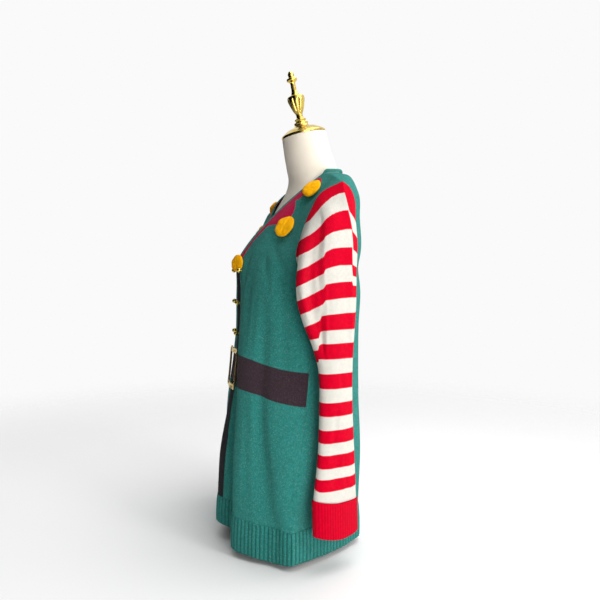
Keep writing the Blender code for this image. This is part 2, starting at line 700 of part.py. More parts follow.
def neck_line(fronts, backs):
    """The neckline's points from the V's point up the left front, round the back and down."""
    left_up = fronts[1][v_row() :, 0]
    right_down = fronts[-1][v_row() :, 0][::-1]
    left_round = backs[1][-1, : NECK_COLUMNS + 1][::-1]
    right_round = backs[-1][-1, : NECK_COLUMNS + 1]
    return np.concatenate([left_up, left_round[1:], right_round[1:], right_down[1:-1]])


def neck_band(line, normals):
    """The narrow edge band: the neckline and a second line inside it, towards the opening."""
    ahead = np.roll(line, -1, axis=0) - np.roll(line, 1, axis=0)
    inwards = np.cross(normals, ahead)
    inwards /= np.linalg.norm(inwards, axis=1)[:, None]
    inwards[0] = V_POINT_WAY
    edge = line + inwards * NECKBAND_WIDTH
    edge[0] = line[0] + inwards[0] * NECKBAND_WIDTH * V_POINT_SHARE
    line = line + inwards * SEAM_GAP * 3
    sheet = Sheet("neck_band", "green_knit")
    sheet.add_grid(np.stack([line, edge]), closed=True)
    return sheet


class Panel:
    """A panel's outer surface, for laying trims on it."""

    def __init__(self, sheet):
        self.tree = BVHTree.FromPolygons(sheet.points.tolist(), [list(map(int, f)) for f in sheet.faces])

    def place(self, x, z):
        """The surface's point straight behind (x, z) seen from the front, and its normal."""
        hit, normal, _, _ = self.tree.ray_cast(Vector((x, -1.0, z)), Vector((0, 1, 0)))
        return hit, normal

    def level_place(self, x, z, reach):
        """A place and the mean normal of the surface round it, as far as reach."""
        total = Vector()
        for turn in np.linspace(0, 2 * math.pi, 12, endpoint=False):
            _, normal = self.place(x + reach * math.cos(turn), z + reach * math.sin(turn))
            total += normal or Vector()
        return self.place(x, z)[0], total.normalized()

    def heights(self, place, turn, flat, probes=TRIM_PROBES):
        """The surface's greatest height over the plane at the place, near each flat point."""
        normal = turn @ Vector((0, 0, 1))
        result = []
        for a, b in flat:
            found = []
            for da, db in probes:
                start = place + turn @ Vector((a + da, b + db, 0.05))
                hit, _, _, distance = self.tree.ray_cast(start, -normal, 0.1)
                if hit:
                    found.append(0.05 - distance)
            result.append(max(found, default=0.0))
        return np.array(result)


def upright_turn(normal):
    """The turn that takes +Z to the normal and keeps +Y as upright as it can be."""
    up = (Vector((0, 0, 1)) - normal * normal.z).normalized()
    return Matrix((up.cross(normal), up, normal)).transposed()


def capped(rings):
    """Points and faces of a closed solid through rings of points, with a flat fan at each end."""
    rings = np.asarray(rings)
    count, segments = rings.shape[:2]
    ends = [rings[0].mean(axis=0)[None], rings[-1].mean(axis=0)[None]]
    faces = grid_faces(count, segments, closed=True)
    low, high, top = count * segments, count * segments + 1, (count - 1) * segments
    for c in range(segments):
        after = (c + 1) % segments
        faces.append([low, after, c])
        faces.append([high, top + c, top + after])
    return np.concatenate([rings.reshape(-1, 3)] + ends), faces


def turned(profile, segments, flutes=0, fluted=(0.0, 0.0)):
    """Points and faces of a closed turned solid about +Z, with optional flutes on one stretch."""
    angles = np.linspace(0, 2 * math.pi, segments, endpoint=False)
    rings = []
    for radius, height in profile:
        depth = FLUTE_DEPTH if flutes and fluted[0] <= height <= fluted[1] else 0.0
        size = radius * (1 - depth * (0.5 + 0.5 * np.cos(angles * flutes)))
        rings.append(np.stack([size * np.cos(angles), size * np.sin(angles), np.full(segments, height)], axis=1))
    return capped(rings)


def leaned(points, lean):
    """A dome made thinner towards +X (or -X for a negative lean)."""
    points = np.array(points, float)
    points[:, 2] *= 1 - lean * points[:, 0] / POMPOM_RADIUS
    return points


def laid(points, place, turn, raise_by=0.0, panel=None):
    """Points about +Z moved to the place; with a panel, each also follows the panel's surface."""
    points = np.array(points, float)
    if panel:
        points[:, 2] += panel.heights(place, turn, points[:, :2])
    points[:, 2] += raise_by
    return points @ np.array(turn).T + np.array(place)


def dome_profile(radius, rise):
    """A pompom's outline: a flat back, a rounded rim and a low crown."""
    outline = [(radius * 0.45, 0.0), (radius * 0.86, 0.0)]
    for a in np.linspace(-0.2 * math.pi, 0.5 * math.pi, 6)[:-1]:
        outline.append((radius * math.cos(a) ** 0.5, rise * (0.40 + 0.60 * math.sin(a))))
    outline.append((radius * 0.15, rise * 0.995))
    return outline


def bell_profile():
    """A small jingle bell's outline with its sewing shank behind."""
    shank, radius = BELL_RADIUS * 0.3, BELL_RADIUS
    outline = [(shank, 0.0), (shank, radius * 0.35)]
    for a in np.linspace(-0.42 * math.pi, 0.42 * math.pi, 6):
        outline.append((radius * math.cos(a), radius * 1.3 + radius * math.sin(a)))
    return outline


def add_trims(panel):
    """Pompoms on the collar's points, laid to the cloth, and the bells down the centre front."""
    for name, (x, z, aside) in POMPOM_PLACES.items():
        place, normal = panel.level_place(x, z, POMPOM_RADIUS * 0.6)
        points, faces = turned(dome_profile(POMPOM_RADIUS, POMPOM_RISE), 16)
        turn = upright_turn(Vector((normal.x + aside, normal.y, normal.z * POMPOM_HANG)).normalized())
        on = None if name == "centre" else panel
        raised = 0.0006 if on else bridged(panel, place, turn, POMPOM_RADIUS)
        points = leaned(points, POMPOM_LEAN * np.sign(x))
        add_object(f"pompom_{name}", laid(points, place, turn, raised, on), faces, "pompom_felt", 60)
    for name, (x, z) in BELL_PLACES.items():
        place, normal = panel.level_place(x, z, BELL_RADIUS)
        points, faces = turned(bell_profile(), 8)
        turn = upright_turn(normal)
        raised = bridged(panel, place, turn, BELL_RADIUS)
        add_object(f"bell_{name}", laid(points, place, turn, raised), faces, "gold", 60)


def bridged(panel, place, turn, reach):
    """How far a stiff round trim stands off the place to clear the panel under it."""
    flat = [(0.0, 0.0)]
    for ring in (0.35, 0.7, 1.0):
        for a in np.linspace(0, 2 * math.pi, 16, endpoint=False):
            flat.append((ring * reach * math.cos(a), ring * reach * math.sin(a)))
    return panel.heights(place, turn, flat).max() + 0.0005


def rounded_frame(width, height, radius, steps=3):
    """A rectangle's outline with round corners, counterclockwise from +Z's side."""
    outline = []
    for k, (sx, sy) in enumerate(((1, 1), (-1, 1), (-1, -1), (1, -1))):
        for a in np.linspace(k * math.pi / 2, (k + 1) * math.pi / 2, steps + 1):
            outline.append((sx * (width / 2 - radius) + radius * math.cos(a),
                            sy * (height / 2 - radius) + radius * math.sin(a)))
    return np.array(outline)


def add_buckle(panel):
    """The gold buckle: a flat square frame standing just off the belt."""
    outer = rounded_frame(*BUCKLE_SIZE, 0.008)
    inner = rounded_frame(BUCKLE_SIZE[0] - 2 * BUCKLE_BAR, BUCKLE_SIZE[1] - 2 * BUCKLE_BAR, 0.003)
    count = len(outer)
    rings = []
    for outline, level in ((outer, 0.0), (outer, BUCKLE_THICK), (inner, BUCKLE_THICK), (inner, 0.0)):
        rings.append(np.column_stack([outline, np.full(count, level)]))
    points = np.concatenate(rings)
    faces = []
    for r in range(4):
        for c in range(count):
            after = (c + 1) % count
            low, high = r * count, (r + 1) % 4 * count
            faces.append([low + c, low + after, high + after, high + c])
    place = panel.place(*BUCKLE_PLACE)[0]
    _, normal = panel.level_place(*BUCKLE_PLACE, BUCKLE_SIZE[1] / 2)
    turn = upright_turn(Vector((BUCKLE_YAW, normal.y, normal.z)).normalized())
    bars = [outer, inner, (outer + inner) / 2]
    under = [line * (1 - f) + np.roll(line, -1, axis=0) * f for line in bars for f in np.linspace(0, 0.9, 10)]
    raised = panel.heights(place, turn, np.concatenate(under), TRIM_PROBES[:1]).max() + 0.0006
    add_object("buckle", laid(points, place, turn, raised), faces, "gold", 30)


def form_ring(ring, segments):
    """One ring of the dress form: a rounded superellipse, leaning about its own centre."""
    z, front_y, back_y, half_width, lean, squareness = ring
    a = np.linspace(0, 2 * math.pi, segments, endpoint=False)
    power = 2.0 / squareness
    across = np.sign(np.cos(a)) * np.abs(np.cos(a)) ** power * half_width
    depth = np.sign(np.sin(a)) * np.abs(np.sin(a)) ** power * (back_y - front_y) / 2
    middle = (front_y + back_y) / 2
    slope = math.radians(lean)
    return np.stack([across, middle + depth * math.cos(slope), z + depth * math.sin(slope)], axis=1)


def add_form():
    """The limbless torso and neck, one smooth closed solid with a flat bottom."""
    points, faces = capped([form_ring(ring, FORM_SEGMENTS) for ring in FORM_RINGS])
    add_object("form_torso", points, faces, "cream_jersey", 50)


def add_finial():
    """The gold cap and finial on the neck, leaning forward with it."""
    neck = FORM_RINGS[-1]
    middle = (neck[1] + neck[2]) / 2
    axis = Vector((0, -math.sin(NECK_LEAN), math.cos(NECK_LEAN)))
    place = np.array((0.0, middle, neck[0])) + np.array(axis) * 2 * SEAM_GAP
    points, faces = turned(FINIAL_PROFILE, 20, URN_FLUTES, URN_HEIGHTS)
    turn = Matrix.Rotation(NECK_LEAN, 3, "X")
    add_object("neck_cap_finial", laid(points, place, turn), faces, "gold", 35)


def add_stand():
    """The hidden short stand: a pole under the torso and a round foot, inside the skirt."""
    foot, foot_faces = turned(
        (
            (FOOT_RADIUS - 0.003, 0.0),
            (FOOT_RADIUS, 0.003),
            (FOOT_RADIUS, FOOT_HEIGHT - 0.003),
            (FOOT_RADIUS - 0.004, FOOT_HEIGHT),
            (SOCKET_RADIUS + 0.003, FOOT_HEIGHT + 0.002),
            (SOCKET_RADIUS, FOOT_HEIGHT + SOCKET_HEIGHT),
        ),
        32,
    )
    add_object("stand_foot", foot + np.array((0, POLE_Y, 0)), foot_faces, "steel", 30)
    top = FORM_RINGS[0][0] - SEAM_GAP
    low = FOOT_HEIGHT + SOCKET_HEIGHT + SEAM_GAP
    pole, pole_faces = turned(((POLE_RADIUS, low), (POLE_RADIUS, top)), 16)
    add_object("stand_pole", pole + np.array((0, POLE_Y, 0)), pole_faces, "steel", 30)


def add_garment():
    """Front, back, hem bands, sleeves, cuffs and neck band, then the trims on the front."""
    fronts, backs, armpit_row = body_grids()
    sleeves = {side: sleeve_grid(side, fronts[side], backs[side], armpit_row) for side in (1, -1)}
    front, back = Sheet("front", "green_knit"), Sheet("back", "green_knit")
    for side in (1, -1):
        front.add_grid(fronts[side], flip=side < 0)
        back.add_grid(backs[side], flip=side > 0)
    sheets = [front.welded(), back.welded()]
    for side, word in ((1, "left"), (-1, "right")):
        sleeve = Sheet(f"sleeve_{word}", "red_knit")
        sleeve.add_grid(sleeves[side][0], closed=True, flip=side < 0)
        sheets.append(sleeve.welded())
    line = neck_line(fronts, backs)
    both = np.concatenate([front.points, back.points])
    both_normals = np.concatenate([normals for normals, _ in seam_lines(sheets[:2])])
    nearest = [int(np.argmin(((both - p) ** 2).sum(axis=1))) for p in line]
    sheets.append(neck_band(line, both_normals[nearest]))
    crests = [None] * len(sheets)
    bands = [
        hem_band("hem_front", (fronts[-1], fronts[1]), True),
        hem_band("hem_back", (backs[-1], backs[1]), False),
    ]
    for side, word in ((1, "left"), (-1, "right")):
        grid, angles = sleeves[side]
        bands.append(cuff_band(f"cuff_{word}", side, grid[-1], angles))
    sheets += [band for band, _ in bands]
    crests += [crest for _, crest in bands]
    for sheet, (normals, shifts), crest in zip(sheets, seam_lines(sheets), crests):
        add_wall(sheet, normals, shifts, crest)
    panel = Panel(front)
    add_trims(panel)
    add_buckle(panel)


def main():
    clear_scene()
    add_garment()
    add_form()
    add_finial()
    add_stand()


main()
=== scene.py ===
"""A long knitted elf sweater dress on a limbless dress form, with its finishes and its studio.

A lesson in cells: each step first says what the piece or finish is on the real garment and why it
is made this way, then makes it. The wearer's front faces -Y, their left is +X and +Z is up.
"""

# %% [markdown]
# ## The frame
# The imported model gives the true sizes: every solid of the dress and its form stands in metres,
# with the foot of the stand on Z = 0.

import math

import bpy
import numpy as np
from mathutils import Matrix, Vector
from mathutils.bvhtree import BVHTree


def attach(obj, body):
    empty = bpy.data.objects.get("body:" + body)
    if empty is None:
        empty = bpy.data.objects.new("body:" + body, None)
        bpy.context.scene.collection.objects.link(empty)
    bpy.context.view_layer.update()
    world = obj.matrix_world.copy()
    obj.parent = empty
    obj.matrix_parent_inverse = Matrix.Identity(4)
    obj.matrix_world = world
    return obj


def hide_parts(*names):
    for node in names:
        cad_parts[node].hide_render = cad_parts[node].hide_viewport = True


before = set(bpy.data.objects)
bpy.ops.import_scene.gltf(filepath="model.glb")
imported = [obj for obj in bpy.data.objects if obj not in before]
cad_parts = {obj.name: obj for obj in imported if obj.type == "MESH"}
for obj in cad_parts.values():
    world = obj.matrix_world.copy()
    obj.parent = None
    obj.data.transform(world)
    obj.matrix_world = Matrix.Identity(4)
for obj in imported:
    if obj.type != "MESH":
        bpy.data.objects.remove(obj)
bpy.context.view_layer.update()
print("solids in the frame:", len(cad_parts))

# %% [markdown]
# ## Colours
# A dyer's card for this garment, as the eye sees it: sRGB hex values. Shaders work in linear light,
# so one function turns a hex value into linear red, green and blue.

# %% Colours
HEX = {
    # the darker green, red, white and crimson are painted shade between the stitches (and, for green and red,
    # in the rib's grooves), and also slow dye variation
    "fir_green": "#349b92",
    "fir_green_painted_shade_and_dye": "#0e4742",
    "fir_green_fleck": "#86c4b9",
    "santa_red": "#f0002c",
    "santa_red_painted_shade_and_dye": "#b00022",
    "wool_white": "#f2efe7",
    "wool_white_painted_shade_and_dye": "#d0cbbd",
    "belt_brown": "#3f3138",
    "belt_brown_fleck": "#6a5a60",
    "stripe_charcoal": "#26272c",
    "collar_crimson": "#f01458",
    "collar_crimson_painted_shade_and_dye": "#7c0c30",
    "felt_amber": "#ffab00",
    "felt_amber_painted_sheen": "#ffcc20",
    "brass": "#e3c766",
    "old_brass": "#b99a55",
    "brass_edge_painted_dark": "#41341f",
    "form_cream": "#fbf2e2",
    "form_cream_shade": "#efe2ce",
    "brushed_steel": "#b9bcc0",
    "studio_white": "#fbfbfb",
    "floor_white": "#fafafa",
    "floor_white_shade": "#f6f6f6",
}


def linear(name):
    """A card colour in linear light: c / 12.92 below 0.04045, else ((c + 0.055) / 1.055) ** 2.4."""
    text = HEX[name].lstrip("#")
    values = [int(text[k : k + 2], 16) / 255 for k in (0, 2, 4)]
    return tuple(c / 12.92 if c <= 0.04045 else ((c + 0.055) / 1.055) ** 2.4 for c in values) + (1.0,)


print("colours on the card:", len(HEX))

# %% [markdown]
# ## A finish is a small web of nodes
# Every material below starts as one Principled shader. `add` puts in one node with its settings and
# what drives it, so that a finish reads from its pattern to its shader, one line a node.

# %% Adding one node
def fill(tree, node, sources):
    """The node's sockets, by name or number, each driven by another node or its output, or set to a
    card colour's name, a number or a vector."""
    for key, source in sources.items():
        if isinstance(source, bpy.types.Node):
            source = source.outputs[0]
        if isinstance(source, bpy.types.NodeSocket):
            tree.links.new(source, node.inputs[key])
        else:
            node.inputs[key].default_value = linear(source) if isinstance(source, str) else source


def add(tree, kind, sources=(), **settings):
    """One node of that kind. Its sources are a list in the order of its sockets, or are keyed by
    them; the settings are its properties."""
    node = tree.nodes.new("ShaderNode" + kind)
    for key, value in settings.items():
        setattr(node, key, value)
    fill(tree, node, sources if isinstance(sources, dict) else dict(enumerate(sources)))
    return node


def finish(name, constants):
    """A new material, its node tree and its Principled shader with the constants in its sockets."""
    made = bpy.data.materials.new(name)
    made.use_nodes = True
    tree = made.node_tree
    shader = tree.nodes["Principled BSDF"]
    fill(tree, shader, constants)
    return made, tree, shader


def dyed(tree, ground, *layers):
    """The ground colour with other colours laid over it in turn, each given with its share."""
    for share, colour in layers:
        ground = add(tree, "Mix", {0: share, 6: ground, 7: colour}, data_type="RGBA").outputs[2]
    return ground


print("node helpers ready")

# %% [markdown]
# ## How the garment is cut
# A sweater dress is knitted as flat panels that are joined at the sides, shoulders and armholes.
# Each panel is known here by a few level lines, from its inner end to its outer end, and each
# sleeve by flattened oval rings. The same sizes make the solids in the frame, so the fine cloth lies
# on them. Lengths are metres in the cutter's own frame, whose middle lies DEPTH_SHIFT in front of
# the stand's; only the levels are listed in millimetres, as on a cutter's card.

# %% The cutter's tables
CLOTH = 0.0026
SEAM_GAP = 0.0003
DEPTH_SHIFT = np.array((0.0, 0.0449, 0.0))
BODY_AXIS_Y = -0.03
NECKBAND_WIDTH = 0.009


def in_metres(*levels):
    """The levels' rows with their points divided by 1000."""
    return [(span, *(np.array(points) / 1000)) for span, *points in levels]


FRONT_LEVELS = in_metres(
    # span, inner end, bust, flank, outer end
    ("skirt", (0, -203, 99), (97, -194, 88), (163, -156, 83), (221, -98, 79)),
    ("skirt", (0, -197, 205), (95, -190, 202), (159, -148, 198), (213, -82, 193)),
    ("skirt", (0, -174.5, 347), (92, -181, 344), (153, -136, 339), (197, -57, 333)),
    ("bodice", (0, -160.5, 432), (90, -176, 428), (148, -126, 422), (189, -46, 414)),
    ("bodice", (0, -157, 510), (84, -163, 507), (143, -120, 502), (188, -40, 495)),
    ("bodice", (0, -157, 585), (82, -154, 582), (146, -120, 577), (192, -34, 570)),
    ("yoke", (0, -157.5, 650), (78, -139, 652), (140, -110, 652), (190, -77, 652)),
    ("yoke", (28, -133, 697), (80, -117, 699), (126, -86, 700), (188, -66, 701)),
    ("yoke", (53, -83, 758), (86, -75, 759), (118, -52, 759), (185, -41, 760)),
    ("yoke", (75, -33, 808), (108, -27, 806), (140, -10, 803), (189, -19, 797)),
    ("yoke", (91, 31, 861), (127, 30, 852), (164, 29, 838), (200, 27, 823.5)),
)
BACK_LEVELS = in_metres(
    # span, inner end, middle, blade, flank, outer end
    ("skirt", (0, 102, 90), (80, 105, 89), (141, 95, 86), (186, 4, 82), (221, -98, 79)),
    ("skirt", (0, 108, 203), (78, 112, 202), (139, 102.5, 199), (182, 9, 196), (213, -82, 193)),
    ("skirt", (0, 107, 345), (76, 108, 343), (133, 98, 340), (174, 22, 336), (197, -57, 333)),
    ("bodice", (0, 109, 430), (75, 110, 427), (128, 100, 424), (166, 30, 419), (189, -46, 414)),
    ("bodice", (0, 111, 508), (73, 112, 506), (126, 102, 503), (164, 36, 499), (188, -40, 495)),
    ("bodice", (0, 114, 585), (72, 114, 583), (127, 106, 579), (168, 50, 574), (192, -34, 570)),
    ("yoke", (0, 117, 665), (70, 116, 664), (125, 105.5, 663), (158, 88, 662), (182, 62, 660)),
    ("yoke", (0, 118, 755), (68, 117, 755), (122, 106, 754), (155, 90, 752), (181, 68, 750)),
    ("yoke", (0, 118, 812), (66, 118, 814), (118, 104, 813), (156, 87, 804), (187, 62, 790)),
    ("yoke", (0, 114, 842), (62, 105, 853), (118, 82, 852), (160, 66, 832), (195, 47, 811.5)),
)
NECK_BACK_CENTRE = (0.000, 0.107, 0.873)

HEM_DROP = (
    # x,    drop below the rib's top row
    (0.000, 0.060),
    (0.060, 0.062),
    (0.100, 0.071),
    (0.190, 0.071),
    (0.224, 0.065),
)
HEM_SPREAD = 1.012

RIGHT_EASE = (
    # z,   inner,  bust,   flank,  outer: how far the right front lies behind the left's mirror
    (0.00, 0.000, 0.028, 0.016, 0.000),
    (0.20, 0.000, 0.027, 0.015, 0.000),
    (0.34, 0.000, 0.029, 0.016, 0.000),
    (0.43, 0.000, 0.036, 0.019, 0.000),
    (0.51, 0.000, 0.025, 0.014, 0.000),
    (0.60, 0.000, 0.015, 0.007, 0.000),
    (0.65, 0.000, 0.009, 0.004, 0.000),
    (0.70, 0.015, 0.012, 0.005, 0.000),
    (0.76, 0.018, 0.015, 0.006, 0.000),
    (0.80, 0.001, 0.003, 0.002, 0.000),
    (0.90, 0.000, 0.000, 0.000, 0.000),
)
EASE_COLUMNS = (0.00, 0.38, 0.70, 1.00)

SLEEVE_RINGS = (
    # x,     y,     z at outer face, half length, half thickness, turn, front drop, back drop, under drop
    (0.214, -0.012, 0.718, 0.070, 0.0200, 4.0, 0.062, 0.040, 0.160),
    (0.220, -0.018, 0.652, 0.072, 0.0225, 6.0, 0.050, 0.030, 0.106),
    (0.223, -0.014, 0.575, 0.066, 0.0240, 8.0, 0.036, 0.018, 0.054),
    (0.225, -0.006, 0.500, 0.052, 0.0240, 10.0, 0.020, 0.008, 0.028),
    (0.226, -0.001, 0.425, 0.041, 0.0230, 12.0, 0.004, 0.004, 0.008),
    (0.227, 0.000, 0.330, 0.0405, 0.0220, 13.0, -0.003, 0.000, 0.000),
    (0.230, -0.001, 0.230, 0.0465, 0.0210, 15.0, -0.005, 0.000, 0.000),
    (0.235, -0.006, 0.144, 0.0555, 0.0200, 16.0, -0.0105, 0.004, 0.000),
)
CUFF_RING = (0.2365, -0.005, 0.069, 0.0550, 0.0190, 16.0, -0.012, -0.004, 0.000)
CREASE_ANGLE = -42.0

# %% [markdown]
# ## Where the cloth folds
# Knitted cloth hangs in soft vertical folds below the bust and pulls into short slanting ones at
# the armpit and the waist. Each fold is a row: where it starts and ends round the body, between
# which heights, how deep it is and how wide. The deep ones are also in the solids; the fine ones,
# uneven in length and spacing as cloth is, are added here only.

# %% The folds
BODY_FOLDS = (
    # angle low, angle high, z low, z high, depth,   width in degrees
    (0.0, 0.0, 0.440, 0.660, -0.0080, 6.5),
    (20.0, 15.5, -0.200, 0.480, -0.0260, 8.0),
    (-24.0, -20.0, -0.200, 0.330, -0.0100, 9.0),
    (1.0, 0.0, -0.100, 0.330, 0.0040, 7.0),
    (36.0, 35.0, -0.200, 0.330, 0.0050, 8.0),
    (62.0, 51.5, -0.060, 0.300, -0.0075, 5.5),
    (51.5, 52.0, 0.140, 0.620, -0.0070, 5.0),
    (-54.0, -49.0, -0.060, 0.340, -0.0070, 6.0),
    (-49.0, -47.0, 0.180, 0.560, -0.0060, 6.0),
    (70.0, 64.0, 0.380, 0.690, -0.0045, 4.5),
    (-69.0, -62.0, 0.340, 0.680, -0.0050, 5.0),
    (33.0, 34.0, 0.420, 0.640, -0.0040, 6.0),
    (-30.0, -33.0, 0.440, 0.640, -0.0040, 6.0),
    (150.0, 158.0, -0.200, 0.420, -0.0090, 7.0),
    (-152.0, -160.0, -0.200, 0.460, -0.0080, 7.0),
    (171.0, 178.0, -0.200, 0.380, -0.0060, 7.0),
    (118.0, 128.0, -0.100, 0.300, -0.0060, 8.0),
    (-116.0, -130.0, -0.100, 0.340, -0.0070, 8.0),
    (166.0, 160.0, 0.440, 0.720, -0.0050, 7.0),
    (-168.0, -163.0, 0.400, 0.690, -0.0045, 7.0),
)
FINE_BODY_FOLDS = (
    # angle low, angle high, z low, z high, depth,   width in degrees
    (30.0, 24.0, -0.100, 0.300, -0.0022, 3.0),
    (44.0, 40.0, 0.120, 0.360, -0.0020, 2.6),
    (27.0, 29.0, 0.300, 0.520, -0.0022, 2.6),
    (41.0, 44.0, 0.430, 0.600, -0.0018, 2.4),
    (58.0, 49.0, 0.560, 0.680, -0.0030, 3.0),
    (72.0, 56.0, 0.600, 0.700, -0.0030, 3.2),
    (62.0, 48.5, 0.100, 0.380, -0.0036, 3.4),
    (75.0, 56.5, -0.040, 0.170, -0.0042, 3.0),
    (73.0, 73.5, 0.050, 0.220, -0.0026, 1.6),
    (57.0, 55.0, -0.050, 0.150, 0.0018, 2.0),
    (48.0, 46.0, -0.100, 0.120, -0.0016, 2.2),
    (12.0, 10.0, 0.200, 0.420, -0.0018, 2.4),
    (22.0, 27.0, 0.580, 0.680, -0.0020, 3.4),
    (-33.0, -30.0, -0.100, 0.280, -0.0022, 3.0),
    (-43.0, -41.0, 0.100, 0.400, -0.0020, 2.8),
    (-26.0, -24.0, 0.340, 0.560, -0.0020, 2.6),
    (-60.0, -50.0, 0.550, 0.680, -0.0030, 3.0),
    (-74.0, -58.0, 0.600, 0.700, -0.0028, 3.2),
    (-64.0, -60.0, 0.020, 0.260, -0.0020, 2.4),
    (88.0, 92.0, 0.050, 0.420, -0.0022, 3.0),
    (-90.0, -94.0, 0.020, 0.380, -0.0022, 3.0),
    (134.0, 140.0, 0.060, 0.360, -0.0026, 3.2),
    (-138.0, -144.0, 0.020, 0.420, -0.0026, 3.2),
    (176.0, 172.0, 0.300, 0.560, -0.0022, 3.0),
    (-176.0, -178.0, -0.050, 0.240, -0.0022, 3.2),
    (146.0, 152.0, 0.560, 0.720, -0.0024, 3.4),
    (-146.0, -150.0, 0.540, 0.710, -0.0024, 3.4),
    (160.0, 166.0, -0.100, 0.180, -0.0020, 2.8),
)

SLEEVE_FOLDS = (
    # angle low, angle high, z low, z high, depth, width in degrees
    (58.0, 22.0, 0.430, 0.790, -0.0110, 15.0),
    (80.0, 50.0, 0.470, 0.700, 0.0040, 14.0),
    (-42.0, -42.0, 0.250, 0.860, 0.0035, 12.0),
    (20.0, 12.0, 0.130, 0.300, -0.0030, 16.0),
    (200.0, 190.0, 0.300, 0.520, 0.0030, 18.0),
)
FINE_SLEEVE_FOLDS = (
    # angle low, angle high, z low, z high, depth, width in degrees
    (27.0, 20.0, 0.520, 0.780, -0.0042, 5.5),  # the pleat down the middle, deepest at the elbow
    (19.0, 12.5, 0.520, 0.780, 0.0016, 4.5),
    (58.0, 24.0, 0.440, 0.560, -0.0048, 6.0),
    (48.0, 17.0, 0.440, 0.560, 0.0016, 5.0),
    (66.0, 88.0, 0.470, 0.600, -0.0022, 9.0),
    (28.0, 6.0, 0.470, 0.640, -0.0016, 8.0),
    (-10.0, 8.0, 0.330, 0.460, -0.0014, 10.0),
    (36.0, 16.0, 0.200, 0.360, -0.0016, 9.0),
    (-20.0, -6.0, 0.140, 0.260, -0.0014, 8.0),
    (150.0, 170.0, 0.420, 0.560, -0.0024, 10.0),
    (230.0, 215.0, 0.400, 0.600, -0.0024, 10.0),
    (250.0, 262.0, 0.200, 0.420, -0.0020, 9.0),
    (262.0, 240.0, 0.560, 0.700, -0.0026, 9.0),
)
ALL_BODY_FOLDS, ALL_SLEEVE_FOLDS = BODY_FOLDS + FINE_BODY_FOLDS, SLEEVE_FOLDS + FINE_SLEEVE_FOLDS
print("folds:", len(ALL_BODY_FOLDS), "on the body,", len(ALL_SLEEVE_FOLDS), "on a sleeve")

# %% [markdown]
# ## Curves through a few points
# A pattern cutter draws a smooth line through a few marked points. Here that line is a cubic
# Hermite curve: each stretch leaves a point along the slope that its neighbours give it. It is
# worked out for whole rows of points at once.

# %% Smooth curves
LINE_SAMPLES, LEVEL_SAMPLES = 1200, 900  # points on a smooth curve before it is divided evenly


def smooth_curve(knots, values, at):
    """A curve through values at knots, read at the places `at`. With f the share of the way from
    one knot to the next, a point is start (1 + 2f)(1 - f)^2 + end f^2 (3 - 2f), plus the width times
    slope f (1 - f)^2 - next slope f^2 (1 - f). Slopes are centred differences."""
    knots, values, at = (np.asarray(a, float) for a in (knots, values, at))
    shape = (-1,) + (1,) * (values.ndim - 1)
    width = np.diff(knots).reshape(shape)
    rise = np.diff(values, axis=0) / width
    middle = (rise[1:] * width[:-1] + rise[:-1] * width[1:]) / (width[1:] + width[:-1])
    tangents = np.concatenate([rise[:1], middle, rise[-1:]])
    index = np.clip(np.searchsorted(knots, at, side="right") - 1, 0, len(knots) - 2)
    f = ((at - knots[index]) / np.diff(knots)[index]).reshape(shape)
    start, end = values[index], values[index + 1]
    return (
        start * (1 + 2 * f) * (1 - f) ** 2
        + end * f**2 * (3 - 2 * f)
        + width[index] * (tangents[index] * f * (1 - f) ** 2 - tangents[index + 1] * f**2 * (1 - f))
    )


def lengths_along(points):
    """The running length of a line of points: the sum of the steps' lengths so far."""
    steps = np.linalg.norm(np.diff(points, axis=0), axis=-1)
    return np.concatenate([np.zeros((1,) + steps.shape[1:]), np.cumsum(steps, axis=0)])


def evenly_along(points, count):
    """count + 1 points at equal lengths along a finely sampled line."""
    run = lengths_along(points)
    at = np.linspace(0.0, run[-1], count + 1)
    return np.stack([np.interp(at, run, points[:, k]) for k in range(points.shape[1])], axis=1)


def resampled(line, count):
    """The smooth curve through a line's points, as count + 1 points at equal lengths."""
    run = lengths_along(np.asarray(line, float))
    return evenly_along(smooth_curve(run, line, np.linspace(0, run[-1], LINE_SAMPLES)), count)


print("a smooth curve is read at", LINE_SAMPLES, "points")

# %% [markdown]
# ## Grids of cloth
# Every piece of cloth is a grid: rows up the garment, columns across it. The grid gives the faces,
# and its rows and columns, measured in metres of cloth, give the UV map in which the stitches lie.

# %% Level lines and grids
ROWS_BETWEEN = {"skirt": 30, "bodice": 20, "yoke": 15}
FRONT_COLUMNS = 66
BACK_COLUMNS = 78
NECK_COLUMNS = 32


def level_line(anchors, count, beyond=None):
    """One level of the left half. It runs into its mirror image at the centre and turns towards the
    point beyond its outer end, so that the body rounds over the side seam."""
    anchors = np.asarray(anchors, float)
    on_centre = abs(anchors[0, 0]) < 1e-9
    whole = np.concatenate([anchors[:0:-1] * (-1, 1, 1), anchors]) if on_centre else anchors
    last = len(whole) - 1
    if beyond is not None:
        whole = np.concatenate([whole, [beyond]])
    run = lengths_along(whole)
    first = run[len(anchors) - 1] if on_centre else 0.0
    return evenly_along(smooth_curve(run, whole, np.linspace(first, run[last], LEVEL_SAMPLES)), count)


def level_lines(levels, count, other_levels):
    """Every level's line; from the second one up to the armpit the side seam is rounded over."""
    rounded = [k > 0 and level[0] in ("skirt", "bodice") for k, level in enumerate(levels)]
    beyond = [other_levels[k][-2] if turned else None for k, turned in enumerate(rounded)]
    return [level_line(level[1:], count, past) for level, past in zip(levels, beyond)]


def half_grid(spans, lines):
    """Rows by columns of points: the level lines with smooth rows between them. Returns the grid
    and each row's running length up the panel's middle."""
    lines = np.asarray(lines)
    run = lengths_along(lines.mean(axis=1))
    places = [run[:1]]
    for k in range(1, len(spans)):
        places.append(np.linspace(run[k - 1], run[k], ROWS_BETWEEN[spans[k]] + 1)[1:])
    places = np.concatenate(places)
    return smooth_curve(run, lines, places), places


